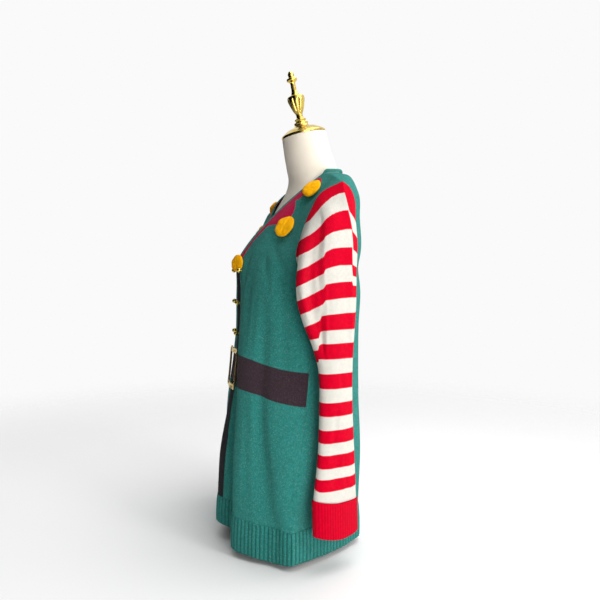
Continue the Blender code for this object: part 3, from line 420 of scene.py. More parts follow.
def body_angle(points):
    """Degrees round the body's axis: 0 at centre front, 90 at the wearer's left."""
    return np.degrees(np.arctan2(points[..., 0], BODY_AXIS_Y - points[..., 1]))


def fold_shift(angle, z, folds):
    """The sum of the folds over each point: depth times exp(-(angle away / width)^2), faded softly
    to nothing over the last third of the fold's height at each end."""
    moved = np.zeros_like(z)
    for angle_low, angle_high, low, high, depth, width in folds:
        middle = angle_low + (angle_high - angle_low) * np.clip((z - low) / (high - low), 0, 1)
        away = (angle - middle + 180.0) % 360.0 - 180.0
        up, down = (np.clip(3 * reach / (high - low), 0, 1) for reach in (z - low, high - z))
        fade = up * up * (3 - 2 * up) * down * down * (3 - 2 * down)
        moved += depth * np.exp(-((away / width) ** 2)) * fade
    return moved


def grid_quads(rows, columns, closed=False):
    """Corner numbers of the quads over a rows by columns grid, counterclockwise seen with rows up
    and columns to the right. A closed grid's last column joins its first."""
    r, c = np.meshgrid(np.arange(rows - 1), np.arange(columns if closed else columns - 1), indexing="ij")
    after = (c + 1) % columns
    quads = [r * columns + c, r * columns + after, (r + 1) * columns + after, (r + 1) * columns + c]
    return np.stack(quads, axis=-1).reshape(-1, 4)


def grid_uvs(u, v):
    """The UV corners of the same quads, from arrays of rows by columns, which for a closed grid have
    one column more than it."""
    uv = np.stack([u, v], axis=-1)
    corners = [uv[:-1, :-1], uv[:-1, 1:], uv[1:, 1:], uv[1:, :-1]]
    return np.stack(corners, axis=2).reshape(-1, 4, 2)


def point_normals(points, quads):
    """Unit normals at the points: the sum of the cross products of the diagonals of the quads that
    meet there, made one long."""
    across = np.cross(points[quads[:, 2]] - points[quads[:, 0]], points[quads[:, 3]] - points[quads[:, 1]])
    total = np.zeros_like(points)
    for corner in range(4):
        np.add.at(total, quads[:, corner], across)
    return total / np.maximum(np.linalg.norm(total, axis=1), 1e-12)[:, None]


def one_each(points):
    """The first point at each place, to a millionth of a metre, and the number of every point's own."""
    _, first, index = np.unique(np.round(points, 6), axis=0, return_index=True, return_inverse=True)
    return first, index.reshape(-1)


class Sheet:
    """One cloth piece while it is being cut: points, quads facing out, UV corners and, for each
    point, the marks that colour it."""

    def __init__(self, name):
        """An empty sheet: no points, no quads and no marks."""
        self.name, self.points, self.marks = name, np.zeros((0, 3)), {}
        self.quads, self.uvs = np.zeros((0, 4), int), np.zeros((0, 4, 2))

    def add_grid(self, grid, u, v, closed=False, flip=False, **marks):
        """A grid of points joined on, with its u and v in metres and each mark's value at its points."""
        quads, uvs = grid_quads(*grid.shape[:2], closed), grid_uvs(u, v)
        if flip:
            quads, uvs = quads[:, ::-1], uvs[:, ::-1]
        self.quads = np.concatenate([self.quads, quads + len(self.points)])
        self.uvs = np.concatenate([self.uvs, uvs])
        self.points = np.concatenate([self.points, grid.reshape(-1, 3)])
        for key, value in marks.items():
            before = self.marks.get(key, np.zeros(0))
            self.marks[key] = np.concatenate([before, np.broadcast_to(value, grid.shape[:2]).ravel()])
        return self

    def welded(self):
        """Points at one place made one; quads that shrink to a line are dropped."""
        first, index = one_each(self.points)
        self.points, quads = self.points[first], index[self.quads]
        self.marks = {key: value[first] for key, value in self.marks.items()}
        whole = (np.diff(np.sort(quads, axis=1), axis=1) > 0).all(axis=1)
        self.quads, self.uvs = quads[whole], self.uvs[whole]
        return self

    def rim(self):
        """The edges that belong to one quad only, in that quad's direction, and the UV of each end."""
        uv_a, uv_b = self.uvs, np.roll(self.uvs, -1, axis=1)
        ends = np.stack([self.quads.ravel(), np.roll(self.quads, -1, axis=1).ravel()], axis=1)
        size = len(self.points)
        own, other = ends[:, 0] * size + ends[:, 1], ends[:, 1] * size + ends[:, 0]
        alone = ~np.isin(own, other)
        return ends[alone], uv_a.reshape(-1, 2)[alone], uv_b.reshape(-1, 2)[alone]


print("grids: front columns", FRONT_COLUMNS, "back columns", BACK_COLUMNS)

# %% [markdown]
# ## From a grid to a wall of cloth
# Knitted cloth has a thickness and a soft rolled edge. The outer face is the grid itself, the inner
# face lies one cloth thickness inside along the normals, and a rim of two strips, bulging a little,
# closes every open edge. The piece is then one closed body.

# %% Making cloth
RIM_BULGE = 0.3  # how far an open edge bulges, as a share of the cloth's thickness


def placed(name, data):
    """The object that holds the data, at the origin, in the scene."""
    made = bpy.data.objects.new(name, data)
    bpy.context.scene.collection.objects.link(made)
    return made


def mesh_object(name, points, faces, smooth_angle=None):
    """A smooth mesh from points in the cutter's frame and faces of their numbers, with its edges
    sharp where they bend by more than the angle, in degrees."""
    mesh = bpy.data.meshes.new(name)
    mesh.from_pydata((np.asarray(points, float) + DEPTH_SHIFT).tolist(), [], faces)
    mesh.shade_smooth()
    if smooth_angle:
        mesh.set_sharp_from_angle(angle=math.radians(smooth_angle))
    print(f"{name}: {sum(len(face) - 2 for face in faces)} triangles")
    return placed(name, mesh)


def mark_points(made, name, values):
    """The values kept on the object's points under that name, for its material to read."""
    layer = made.data.attributes.new(name, "FLOAT", "POINT")
    layer.data.foreach_set("value", np.asarray(values, np.float32))


def edge_steps(sheet, ends):
    """For each point on the rim, the unit step outwards from the cloth, in its plane."""
    along = sheet.points[ends[:, 1]] - sheet.points[ends[:, 0]]
    normals = point_normals(sheet.points, sheet.quads)
    outwards = np.cross(along, normals[ends[:, 0]] + normals[ends[:, 1]])
    total = np.zeros_like(sheet.points)
    for k in (0, 1):
        np.add.at(total, ends[:, k], outwards)
    return total / np.maximum(np.linalg.norm(total, axis=1), 1e-12)[:, None], normals


def cloth_object(sheet, rises=None):
    """The sheet as a closed wall. rises lifts the outer points along the normals, for ribs."""
    ends, uv_a, uv_b = sheet.rim()
    steps, normals = edge_steps(sheet, ends)
    base = sheet.points - steps * SEAM_GAP
    outer = base if rises is None else base + normals * rises[:, None]
    inner = base - normals * CLOTH
    middle = (outer + inner) / 2 + steps * CLOTH * RIM_BULGE
    on_rim = np.unique(ends)
    place = np.full(len(base), -1)
    place[on_rim] = np.arange(len(on_rim)) + 2 * len(base)
    a, b, n = ends[:, 0], ends[:, 1], len(base)
    upper = np.stack([b, a, place[a], place[b]], axis=1)
    lower = np.stack([place[b], place[a], a + n, b + n], axis=1)
    strip_uv = np.stack([uv_b, uv_a, uv_a, uv_b], axis=1)
    faces = np.concatenate([sheet.quads, sheet.quads[:, ::-1] + n, upper, lower])
    uvs = np.concatenate([sheet.uvs, sheet.uvs[:, ::-1], strip_uv, strip_uv])
    made = mesh_object(sheet.name, np.concatenate([outer, inner, middle[on_rim]]), faces.tolist())
    made.data.uv_layers.new(name="cloth").data.foreach_set("uv", uvs.astype(np.float32).ravel())
    for key, value in sheet.marks.items():
        mark_points(made, key, np.concatenate([value, value, value[on_rim]]))
    return made


print("cloth is", CLOTH, "m thick, with", SEAM_GAP, "m left at each seam")

# %% [markdown]
# ## Front and back
# The front is knitted in one piece with a V neck, its right half eased back a little where the cloth
# has slipped on the form. The back is one piece too, with a shallow round neck. Both halves are
# worked out as grids, welded down the middle, and only then folded, so that no fold tears them.

# %% Shaping the two panels
def mirrored(grid):
    """The other half of the garment: x turned to -x."""
    return grid * np.array((-1.0, 1.0, 1.0))


def pressed_folds(grids, flips):
    """The welded halves moved along their shared normals by the folds over them."""
    sheet = Sheet("folding")
    for grid, flip in zip(grids, flips):
        blank = np.zeros(grid.shape[:2])
        sheet.add_grid(grid, blank, blank, flip=flip)
    first, index = one_each(sheet.points)
    kept = sheet.points[first]
    normals = point_normals(kept, index[sheet.quads])
    moved = kept + normals * fold_shift(body_angle(kept), kept[:, 2], ALL_BODY_FOLDS)[:, None]
    split = np.cumsum([grid.shape[0] * grid.shape[1] for grid in grids])[:-1]
    return [part.reshape(grid.shape) for part, grid in zip(np.split(moved[index], split), grids)]


def rows_below(holds):
    """The number of the front's row at the last of its levels for which the test holds."""
    return sum(ROWS_BETWEEN[level[0]] for level in FRONT_LEVELS[1:] if holds(level))


V_ROW = rows_below(lambda level: level[1][0] == 0)
ARMPIT_ROW = rows_below(lambda level: level[0] != "yoke")


def front_halves():
    """The front's left and right grids, the height of each row at its inner end, and its run."""
    spans = [level[0] for level in FRONT_LEVELS]
    left, run = half_grid(spans, level_lines(FRONT_LEVELS, FRONT_COLUMNS, BACK_LEVELS))
    left[: V_ROW + 1, 0, 0] = 0.0
    heights = left[:, 0, 2].copy()
    right = mirrored(left)
    table, share = np.array(RIGHT_EASE), np.linspace(0, 1, FRONT_COLUMNS + 1)
    by_row = np.stack([np.interp(share, EASE_COLUMNS, row) for row in table[:, 1:]])
    for c in range(FRONT_COLUMNS + 1):
        right[:, c, 1] += smooth_curve(table[:, 0], by_row[:, c], right[:, c, 2])
    left, right = pressed_folds([left, right], [False, True])
    return left, right, heights, run


def back_halves():
    """The back's left and right grids and each row's run. Its top row is the neck's quarter curve,
    centre + (corner - centre) sin t across and (1 - cos t) along, then the shoulder seam."""
    seam, centre = np.array(FRONT_LEVELS[-1][1:]), np.array(NECK_BACK_CENTRE)
    t = np.linspace(0.0, math.pi / 2, NECK_COLUMNS + 1)[:, None]
    neck = np.where(np.arange(3) == 0, seam[0] * np.sin(t), seam[0] + (centre - seam[0]) * np.cos(t))
    top = np.concatenate([neck, resampled(seam, BACK_COLUMNS - NECK_COLUMNS)[1:]])
    lines = level_lines(BACK_LEVELS, BACK_COLUMNS, FRONT_LEVELS) + [top]
    spans = [level[0] for level in BACK_LEVELS] + ["yoke"]
    left, run = half_grid(spans, lines)
    left, right = pressed_folds([left, mirrored(left)], [True, False])
    return left, right, run


def join_seams(front, back):
    """Both side edges moved to their mean below the armpit, and the shoulder seams made one."""
    below = slice(ARMPIT_ROW + 1)
    front[below, -1] = back[below, -1] = (front[below, -1] + back[below, -1]) / 2
    back[-1, NECK_COLUMNS:] = resampled(front[-1], BACK_COLUMNS - NECK_COLUMNS)
    back[-1, -1] = front[-1, -1]


front_left, front_right, front_heights, front_run = front_halves()
back_left, back_right, back_run = back_halves()
join_seams(front_left, back_left)
join_seams(front_right, back_right)
print("front rows:", len(front_left), "of which up to the armpit", ARMPIT_ROW)

# %% [markdown]
# ## Colours that are knitted in
# The jester collar, the belt and the dark stripe down the centre front are knitted into the front
# with other yarns, so they are flush with the green. Each is kept as a signed distance to its
# border, stored at the cloth's points: below zero is inside. The shader cuts the colours at zero,
# which gives a border far crisper than the grid.

# %% Marks on the front
BELT_BORDERS = (
    # length from centre front across the cloth, height at centre front of the rows at its lower
    # and its upper border
    (0.000, 0.3670, 0.4413),
    (0.100, 0.3670, 0.4413),
    (0.128, 0.3655, 0.4380),
    (0.156, 0.3614, 0.4310),
    (0.180, 0.3570, 0.4290),
    (0.201, 0.3537, 0.4264),
    (0.232, 0.3510, 0.4255),
    (0.260, 0.3485, 0.4244),
)
STRIPE_BORDERS = (
    # height, length across the cloth from the centre line to the stripe's border
    (0.100, 0.0265),
    (0.230, 0.0265),
    (0.265, 0.0225),
    (0.300, 0.0195),
    (0.335, 0.0195),
    (0.500, 0.0265),
    (0.560, 0.0265),
    (0.620, 0.0240),
)
STRIPE_TOP = 0.648
COLLAR_OUTLINE = (
    # x,     z seen from the front, from below the V's point up to the shoulder seam
    (-0.010, 0.6360),
    (0.006, 0.6380),
    (0.016, 0.6500),
    (0.0256, 0.6638),
    (0.0305, 0.6790),
    (0.0362, 0.6967),
    (0.0444, 0.7082),
    (0.0530, 0.7200),
    (0.0575, 0.7310),
    (0.0700, 0.7340),
    (0.0900, 0.7345),
    (0.1170, 0.7320),
    (0.1120, 0.7540),
    (0.1100, 0.7680),
    (0.1050, 0.7820),
    (0.0982, 0.7895),
    (0.0988, 0.7925),
    (0.1060, 0.7925),
    (0.1070, 0.7997),
    (0.1280, 0.8220),
    (0.1263, 0.8320),
    (0.1137, 0.8413),
    (0.0954, 0.8479),
    (0.0850, 0.8500),
    (-0.0100, 0.8500),
)


def outline_distance(x, z, outline):
    """Signed distance from points to a closed outline: the least distance to its edges, negative
    where a ray to the right crosses the edges an odd number of times."""
    corners = np.array(outline)
    nearest, inside = np.full(x.shape, 1e9), np.zeros(x.shape, bool)
    for (ax, az), (bx, bz) in zip(corners, np.roll(corners, -1, axis=0)):
        dx, dz = bx - ax, bz - az
        share = np.clip(((x - ax) * dx + (z - az) * dz) / (dx * dx + dz * dz), 0, 1)
        nearest = np.minimum(nearest, np.hypot(x - ax - share * dx, z - az - share * dz))
        crosses = (az > z) != (bz > z)
        at = ax + (z - az) / np.where(abs(dz) < 1e-12, 1e-12, dz) * dx
        inside ^= crosses & (x < at)
    return np.where(inside, -nearest, nearest)


def row_lengths(grid, side):
    """Each point's length across the cloth from the centre line, signed by side."""
    inner = np.abs(grid[:, :1, 0])
    return side * (inner + lengths_along(np.swapaxes(grid, 0, 1)).T)


def front_marks(grid, u):
    """The front's three knitted-in colours as signed distances, in metres."""
    heights, across = front_heights[:, None] + 0 * u, np.abs(u)
    at, lower, upper = np.array(BELT_BORDERS).T
    belt = np.maximum(heights - np.interp(across, at, upper), np.interp(across, at, lower) - heights)
    levels, halves = np.array(STRIPE_BORDERS).T
    stripe = np.maximum(across - np.interp(heights, levels, halves), heights - STRIPE_TOP)
    collar = outline_distance(np.abs(grid[..., 0]), grid[..., 2], COLLAR_OUTLINE)
    return {"belt": belt, "stripe": stripe, "collar": collar}


def panel(name, halves, run, flips, marks=None):
    """A panel from its left and right grids, welded down the middle."""
    sheet = Sheet(name)
    for grid, side, flip in zip(halves, (1, -1), flips):
        u = row_lengths(grid, side)
        v = np.broadcast_to(run[:, None], u.shape)
        sheet.add_grid(grid, u, v, flip=flip, **(marks(grid, u) if marks else {}))
    return sheet.welded()


front_sheet = panel("front_cloth", (front_left, front_right), front_run, (False, True), front_marks)
back_sheet = panel("back_cloth", (back_left, back_right), back_run, (True, False))
front_cloth, back_cloth = cloth_object(front_sheet), cloth_object(back_sheet)

# %% [markdown]
# ## Sleeves
# A set-in sleeve starts at the armhole and hangs as a flattened tube with a pressed crease behind.
# Its stripes follow the courses of the knitting, and the courses sag: in front of a soft pleat down
# the sleeve's middle they hang lower and slope to the front, and behind the pressed crease, where
# the cloth is tucked in, they hang lower still. A table says by how much; a point's place in the
# stripes is its height plus the sag there.

# %% Shaping a sleeve
SLEEVE_ROWS = (17, 15, 17, 18, 18, 22, 23, 21)  # between the armhole and each ring
SAG_ANGLES = (-60, -45, -30, -15, -2, 2, 10, 20, 35, 55, 80)  # degrees in front of the pleat
COURSE_SAGS = (
    # course, pleat's angle, sag in mm at each of the SAG_ANGLES
    (0.7897, 14, -8, -5, 3, 14, 24.5, 28, 34.5, 42.5, 55, 62, 66),
    (0.7495, 14, -9, -8, -3.5, 3.5, 14, 19.5, 29, 37.5, 48, 55, 59),
    (0.7076, 14.5, -8, -7, -3.7, 0.7, 9.5, 18.5, 27, 33.5, 41.7, 48.3, 52),
    (0.6740, 13.5, -3, -2.3, -1.2, 1.3, 9, 18.7, 26, 32, 39.7, 46.3, 50),
    (0.6353, 15, -2.5, -1.5, -1, 2.8, 7.5, 17, 22, 27.5, 33.8, 41, 45),
    (0.6020, 18, -1.5, -1, 0, 2, 5, 13.3, 17.8, 23.4, 29.6, 35.4, 39),
    (0.5664, 22, -2, -1, 0, 2, 3.5, 10.5, 15, 19.7, 25, 29.5, 33),
    (0.5358, 35, -1, 0, 1, 2, 5, 13, 16.3, 19.4, 22.3, 26.5, 29),
    (0.5016, 50, -0.5, -0.5, 0, 1, 4, 14, 16.6, 17.6, 19, 21, 22),
    (0.4721, 68, -0.5, 0, 0, 0, 3, 11, 13, 14, 15, 15, 15),
    (0.4409, 85, 1, 1, 1, 0.5, 1, 6, 8, 8, 8, 8, 8),
    (0.4107, 30, 0, 0, 0, 0, 0, 0, 0, 0, 0, 0, 0),
    (0.3225, 30, 1.5, 1.5, 1.5, 1.5, 1.5, 1.5, 1.5, 1.5, 1.5, 1, 0),
    (0.2934, 30, -1.5, -1.5, -1.5, -1.5, -1.5, -1.5, -1.5, -1.5, -1.5, -2, -3),
    (0.2387, 30, -3, -3, -3.5, -3.5, -3.5, -3.5, -3.5, -4, -4, -5, -6),
    (0.1880, 30, -3, -4, -5, -5, -5, -5, -5.5, -6, -6, -7, -9),
    (0.1639, 30, -4, -5, -5, -5, -5, -5.5, -6, -6.5, -7, -10, -12),
    (0.1386, 30, -5, -7, -8, -8, -8, -8, -9, -10, -12, -15.5, -20),
)
TUCKS = (
    # course, step in mm just behind the pressed crease, and further sag over the next 48 degrees
    (0.5664, 0, 0),
    (0.6020, 8, 2),
    (0.6353, 23, 4),
    (0.6740, 38, 8),
    (0.7076, 44, 13),
    (0.7495, 46, 20),
    (0.7897, 40, 32),
)


def ring_drop(angles, front_drop, back_drop):
    """How far a ring hangs below its outer face: the drop times (sin a) ** 1.5 on each edge."""
    ahead = np.sin(np.radians(angles))
    return front_drop * np.clip(ahead, 0, 1) ** 1.5 + back_drop * np.clip(-ahead, 0, 1) ** 1.5


def oval_ring(ring, angles):
    """One ring: half thickness times cos a outwards and half length times sin a forwards, turned in
    plan, dropped by its front, back and under drops. Angle 0 is the outer face, 90 the front."""
    x, y, z, half_length, half_thick, turn, front_drop, back_drop, under_drop = ring
    a = np.radians(angles)
    out, ahead = np.sign(np.cos(a)) * np.abs(np.cos(a)) ** 0.9, np.sin(a)
    along = np.array((math.sin(math.radians(turn)), -math.cos(math.radians(turn))))
    outwards = np.array((-along[1], along[0]))
    plan = half_length * ahead[:, None] * along + half_thick * out[:, None] * outwards
    drop = ring_drop(angles, front_drop, back_drop) + under_drop * np.clip(-out, 0, 1) ** 1.2
    return np.stack([x + plan[:, 0], y + plan[:, 1], z - drop], axis=1)


def armhole_loop(front, back):
    """The armhole's points from the shoulder tip down the front edge, under, and up the back edge,
    and each one's angle round the sleeve."""
    ahead, behind = front[ARMPIT_ROW:, -1][::-1], back[ARMPIT_ROW:, -1][1:-1]
    forward = np.linspace(CREASE_ANGLE, 180.0, len(ahead))
    rearward = np.linspace(180.0, 360.0 + CREASE_ANGLE, len(behind) + 2)[1:-1]
    return np.concatenate([ahead, behind]), np.concatenate([forward, rearward])


def sag_at(angles, courses):
    """The sag in metres, read from the tables at a course and at the angle in front of the pleat,
    plus the tuck's behind the pressed crease; under the arm it runs evenly from front to back."""
    table, tucks = np.array(COURSE_SAGS[::-1]), np.array(TUCKS)
    pleat = np.interp(courses, table[:, 0], table[:, 1])

    def outside(turn):
        """The sag at that angle on the sleeve's outer side, in millimetres."""
        from_pleat = turn - pleat
        shares = np.eye(len(SAG_ANGLES))
        sag = sum(
            np.interp(courses, table[:, 0], table[:, 2 + k]) * np.interp(from_pleat, SAG_ANGLES, shares[k])
            for k in range(len(SAG_ANGLES))
        )
        behind = CREASE_ANGLE - turn
        step, further = (np.interp(courses, tucks[:, 0], tucks[:, k]) for k in (1, 2))
        return sag + step * np.clip(behind / 3.0, 0, 1) + further * np.clip(behind / 48.0, 0, 1.4)

    turn = (angles + 180.0) % 360.0 - 180.0
    under = np.clip(((angles % 360.0) - 110.0) / 140.0, 0, 1)
    inside = outside(110.0) * (1 - under) + outside(-110.0) * under
    return np.where(np.abs(turn) > 110.0, inside, outside(turn)) / 1000


def with_midpoints(loop, angles):
    """The loop and its angles with a point added in the middle of each of its sides."""
    beyond = np.append(angles[1:], angles[0] + 360.0)
    finer = np.stack([loop, (loop + np.roll(loop, -1, axis=0)) / 2], axis=1).reshape(-1, 3)
    return finer, np.stack([angles, (angles + beyond) / 2], axis=1).ravel()


def sleeve_grid(side, front, back):
    """A sleeve's grid, its columns' angles, each point's height in the stripes, found in a few rounds
    because the sag depends on it, and the length along the sleeve at each row."""
    loop, angles = with_midpoints(*armhole_loop(front, back))
    rings = [oval_ring(ring, angles) for ring in SLEEVE_RINGS]
    lines = np.stack([loop] + [mirrored(ring) if side < 0 else ring for ring in rings])
    run = lengths_along(lines.mean(axis=1))
    places = [run[:1]] + [np.linspace(a, b, n + 1)[1:] for a, b, n in zip(run[:-1], run[1:], SLEEVE_ROWS)]
    places = np.concatenate(places)
    grid = smooth_curve(run, lines, places)
    blank = np.zeros((len(grid), len(angles) + 1))
    sheet = Sheet("pressing").add_grid(grid, blank, blank, True, side < 0)
    folds = fold_shift(np.tile(angles, len(grid)), sheet.points[:, 2], ALL_SLEEVE_FOLDS)
    pressed = (sheet.points + point_normals(sheet.points, sheet.quads) * folds[:, None]).reshape(grid.shape)
    pressed[0] = loop
    courses = pressed[..., 2]
    for _ in range(6):
        courses = pressed[..., 2] + sag_at(angles, courses)
    return pressed, angles, courses, places


def around(grid):
    """Each point's length round a closed row from its first column, with the full round last."""
    closed = np.concatenate([grid, grid[:, :1]], axis=1)
    return lengths_along(np.swapaxes(closed, 0, 1)).T


def sleeve(side, word, front, back):
    """One sleeve's sheet, and its last row for the cuff. Its columns start under the arm, so that
    the UV map's seam is hidden there."""
    grid, angles, courses, places = sleeve_grid(side, front, back)
    start = int(np.argmax(angles >= 180.0))
    grid, courses = np.roll(grid, -start, axis=1), np.roll(courses, -start, axis=1)
    u = around(grid)
    v = np.broadcast_to(-places[:, None], u.shape)
    sheet = Sheet(f"sleeve_{word}_cloth")
    sheet.add_grid(grid, u, v, closed=True, flip=side < 0, course=courses)
    return sheet, grid[-1], np.roll(angles, -start)


sleeve_sheets, cuff_tops, cuff_angles = {}, {}, {}
for side, word, front, back in ((1, "left", front_left, back_left), (-1, "right", front_right, back_right)):
    sleeve_sheets[word], cuff_tops[word], cuff_angles[word] = sleeve(side, word, front, back)
sleeve_cloths = {word: cloth_object(sheet) for word, sheet in sleeve_sheets.items()}

# %% [markdown]
# ## Ribbed edges
# Hem and cuffs are one-by-one rib: a plain stitch and a purl stitch by turns, so the cloth stands up
# in round ridges with narrow grooves. A rib is geometry here, because it shows from a step away:
# its height across one pitch is the rise times sin(pi u / pitch) to the power 0.7.

# %% Ribbed bands
RIB_PITCH, CUFF_RIB_PITCH, RIB_RISE, RIB_BOW = 0.0095, 0.0062, 0.0014, 0.0012
COLUMNS_A_RIB, RIB_ROWS = 8, 16
HEM_GAP = 0.0001  # below the panel, past the gap that every edge has


def rib_band(name, top_line, low_line, pitch, closed, flip):
    """A ribbed band: rows run from the low line up to the top line, bowed out a little between."""
    columns = round(lengths_along(top_line)[-1] / pitch) * COLUMNS_A_RIB
    top, low = resampled(top_line, columns), resampled(low_line, columns)
    share = np.linspace(0, 1, RIB_ROWS + 1)[:, None, None]
    grid = low * (1 - share) + top * share
    u = np.tile(lengths_along(top), (RIB_ROWS + 1, 1))
    v = -lengths_along(grid[::-1])[::-1].mean(axis=1)[:, None] + 0 * u
    phase = np.arange(columns + 1) / COLUMNS_A_RIB * math.pi
    flatter = np.clip(1.15 - 0.3 * share[..., 0] ** 8, 0, 1)  # towards the row that meets the cloth
    rise = np.abs(np.sin(phase)) ** 0.7 * RIB_RISE * flatter + RIB_BOW * np.sin(math.pi * share[..., 0])
    if closed:
        grid, rise = grid[:, :-1], rise[:, :-1]
    sheet = Sheet(name)
    sheet.add_grid(grid, u, v, closed=closed, flip=flip, groove=1 - np.abs(np.sin(phase[: grid.shape[1]])))
    return sheet, rise.ravel()


def hem_band(name, halves, flip):
    """The hem's rib under one panel, from its right side seam round to its left one."""
    right, left = halves
    top = np.concatenate([right[0, ::-1], left[0, 1:]]) - (0.0, 0.0, HEM_GAP)
    distances, drops = np.array(HEM_DROP).T
    low = top * (HEM_SPREAD, HEM_SPREAD, 1.0)
    low[:, 2] -= np.interp(np.abs(top[:, 0]), distances, drops)
    return rib_band(name, top, low, RIB_PITCH, False, flip)


def cuff_band(word, side):
    """The cuff's rib under a sleeve, from the sleeve's last row down to the cuff's own oval."""
    ring = oval_ring(CUFF_RING, cuff_angles[word])
    low = mirrored(ring) if side < 0 else ring
    top = cuff_tops[word] - (0.0, 0.0, 2 * SEAM_GAP)
    lines = [np.concatenate([line, line[:1]]) for line in (top, low)]
    return rib_band(f"cuff_{word}_cloth", *lines, CUFF_RIB_PITCH, True, side < 0)


bands = {
    "hem_front": hem_band("hem_front_cloth", (front_right, front_left), False),
    "hem_back": hem_band("hem_back_cloth", (back_right, back_left), True),
    "cuff_left": cuff_band("left", 1),
    "cuff_right": cuff_band("right", -1),
}
band_cloths = {node: cloth_object(sheet, rises) for node, (sheet, rises) in bands.items()}

# %% [markdown]
# ## The neck's edge
# A narrow rib is linked on round the neckline. It is a strip that starts at the neckline and reaches
# one band's width into the opening, rolled a little. At the V's point its two ends meet on the
# centre line in a mitre.

# %% The neck band
NECK_ROWS, NECK_STITCHES = 6, 360
NECK_GAP, NECK_ROLL, MITRE_GAP = 0.0009, 0.0012, 0.0002


def neck_line():
    """The neckline from the V's point up the left front, round the back and down the right."""
    left_up, right_down = front_left[V_ROW:, 0], front_right[V_ROW:, 0][::-1]
    left_round, right_round = back_left[-1, : NECK_COLUMNS + 1][::-1], back_right[-1, : NECK_COLUMNS + 1]
    return np.concatenate([left_up, left_round[1:], right_round[1:], right_down[1:]])


def surface_normals(sheets, points):
    """The normal of the nearest of the sheets' points to each given point, smoothed along them."""
    near = np.concatenate([sheet.points for sheet in sheets])
    normals = np.concatenate([point_normals(sheet.points, sheet.quads) for sheet in sheets])
    away = sum((points[:, None, k] - near[None, :, k]) ** 2 for k in range(3))
    found = normals[np.argmin(away, axis=1)]
    for _ in range(4):
        found[1:-1] = (found[:-2] + 2 * found[1:-1] + found[2:]) / 4
    return found / np.linalg.norm(found, axis=1)[:, None]


def neck_sheet():
    """Rows from the neckline inwards: line + band width s along the inward step, raised by the roll
    times sin(pi s); where a point would pass the centre line it stops short of it."""
    line = resampled(neck_line(), NECK_STITCHES)
    normals = surface_normals((front_sheet, back_sheet), line)
    steps = np.cross(normals, np.gradient(line, axis=0))
    steps /= np.linalg.norm(steps, axis=1)[:, None]
    share = np.linspace(0.0, 1.0, NECK_ROWS + 1)[:, None, None]
    grid = line + steps * (NECK_GAP + share * (NECKBAND_WIDTH - NECK_GAP))
    grid = grid + normals * NECK_ROLL * np.sin(math.pi * share)
    side = np.where(np.arange(len(line)) < len(line) / 2, 1.0, -1.0)
    near_v = np.abs(line[:, 0]) < 0.05
    low_enough = line[:, 2] < FRONT_LEVELS[-3][1][2]
    passed = near_v & low_enough & (grid[..., 0] * side < MITRE_GAP)
    reach = np.abs(line[:, 0]) / np.maximum(np.abs(grid[..., 0] - line[:, 0]), 1e-6)
    grid = np.where(passed[..., None], line + (grid - line) * np.minimum(reach, 1.0)[..., None], grid)
    grid[..., 0] = np.where(passed, side * MITRE_GAP, grid[..., 0])
    u = np.tile(lengths_along(line), (NECK_ROWS + 1, 1))
    v = np.broadcast_to(share[..., 0] * NECKBAND_WIDTH, u.shape)
    return Sheet("neck_band_cloth").add_grid(grid, u, v)


neck_band = neck_sheet()
neck_cloth = cloth_object(neck_band)

# %% [markdown]
# ## Laying trims on cloth
# A trim that is sewn on sits where the cloth is. Rays cast straight back from the front find the
# cloth under it and how the cloth faces there. Small trims are turned: a profile of radius and height
# is carried round an axis, and its first and last rings are closed by a fan of triangles.

# %% Finding the cloth under a trim
FRONT_TREE = BVHTree.FromPolygons(front_sheet.points.tolist(), front_sheet.quads.tolist())
PROBE_REACH = 0.05  # how far over a trim's plane the cloth is felt for


def cloth_place(x, z):
    """The cloth's point straight behind (x, z) seen from the front, and its normal."""
    hit, normal, _, _ = FRONT_TREE.ray_cast(Vector((x, -1.0, z)), Vector((0.0, 1.0, 0.0)))
    return hit, normal


def level_place(x, z, reach):
    """The cloth's place and its mean normal over a disc of that reach."""
    total = Vector()
    for turn in np.linspace(0, 2 * math.pi, 16, endpoint=False):
        for share in (0.5, 1.0):
            _, normal = cloth_place(x + share * reach * math.cos(turn), z + share * reach * math.sin(turn))
            total += normal or Vector()
    return cloth_place(x, z)[0], total.normalized()


def upright_turn(normal):
    """The turn that takes +Z to the normal and keeps +Y as upright as it can be."""
    up = (Vector((0, 0, 1)) - normal * normal.z).normalized()
    return Matrix((up.cross(normal), up, normal)).transposed()


def cloth_heights(place, turn, flat, reach=0.0):
    """The cloth's height over the plane at the place, at each flat point or its highest within
    reach of it."""
    normal = turn @ Vector((0, 0, 1))
    steps = [(0.0, 0.0)] + [(reach * math.cos(t), reach * math.sin(t)) for t in np.arange(6) * math.pi / 3]
    found = []
    for a, b in flat:
        tops = []
        for da, db in steps if reach else steps[:1]:
            start = place + turn @ Vector((a + da, b + db, PROBE_REACH))
            hit, _, _, distance = FRONT_TREE.ray_cast(start, -normal, 2 * PROBE_REACH)
            tops.append(PROBE_REACH - distance if hit else 0.0)
        found.append(max(tops))
    return np.array(found)


def turned_grid(profile, segments, wave=None):
    """A profile of (radius, height) turned about +Z: rows up the profile, columns round the axis.
    wave(angle, height) scales the radius, for flutes."""
    profile = np.asarray(profile, float)
    angles = np.linspace(0, 2 * math.pi, segments, endpoint=False)
    radius = profile[:, :1] * np.ones(segments)
    if wave:
        radius = radius * wave(angles[None, :], profile[:, 1:])
    return np.stack([radius * np.cos(angles), radius * np.sin(angles), profile[:, 1:] + 0 * radius], axis=-1)


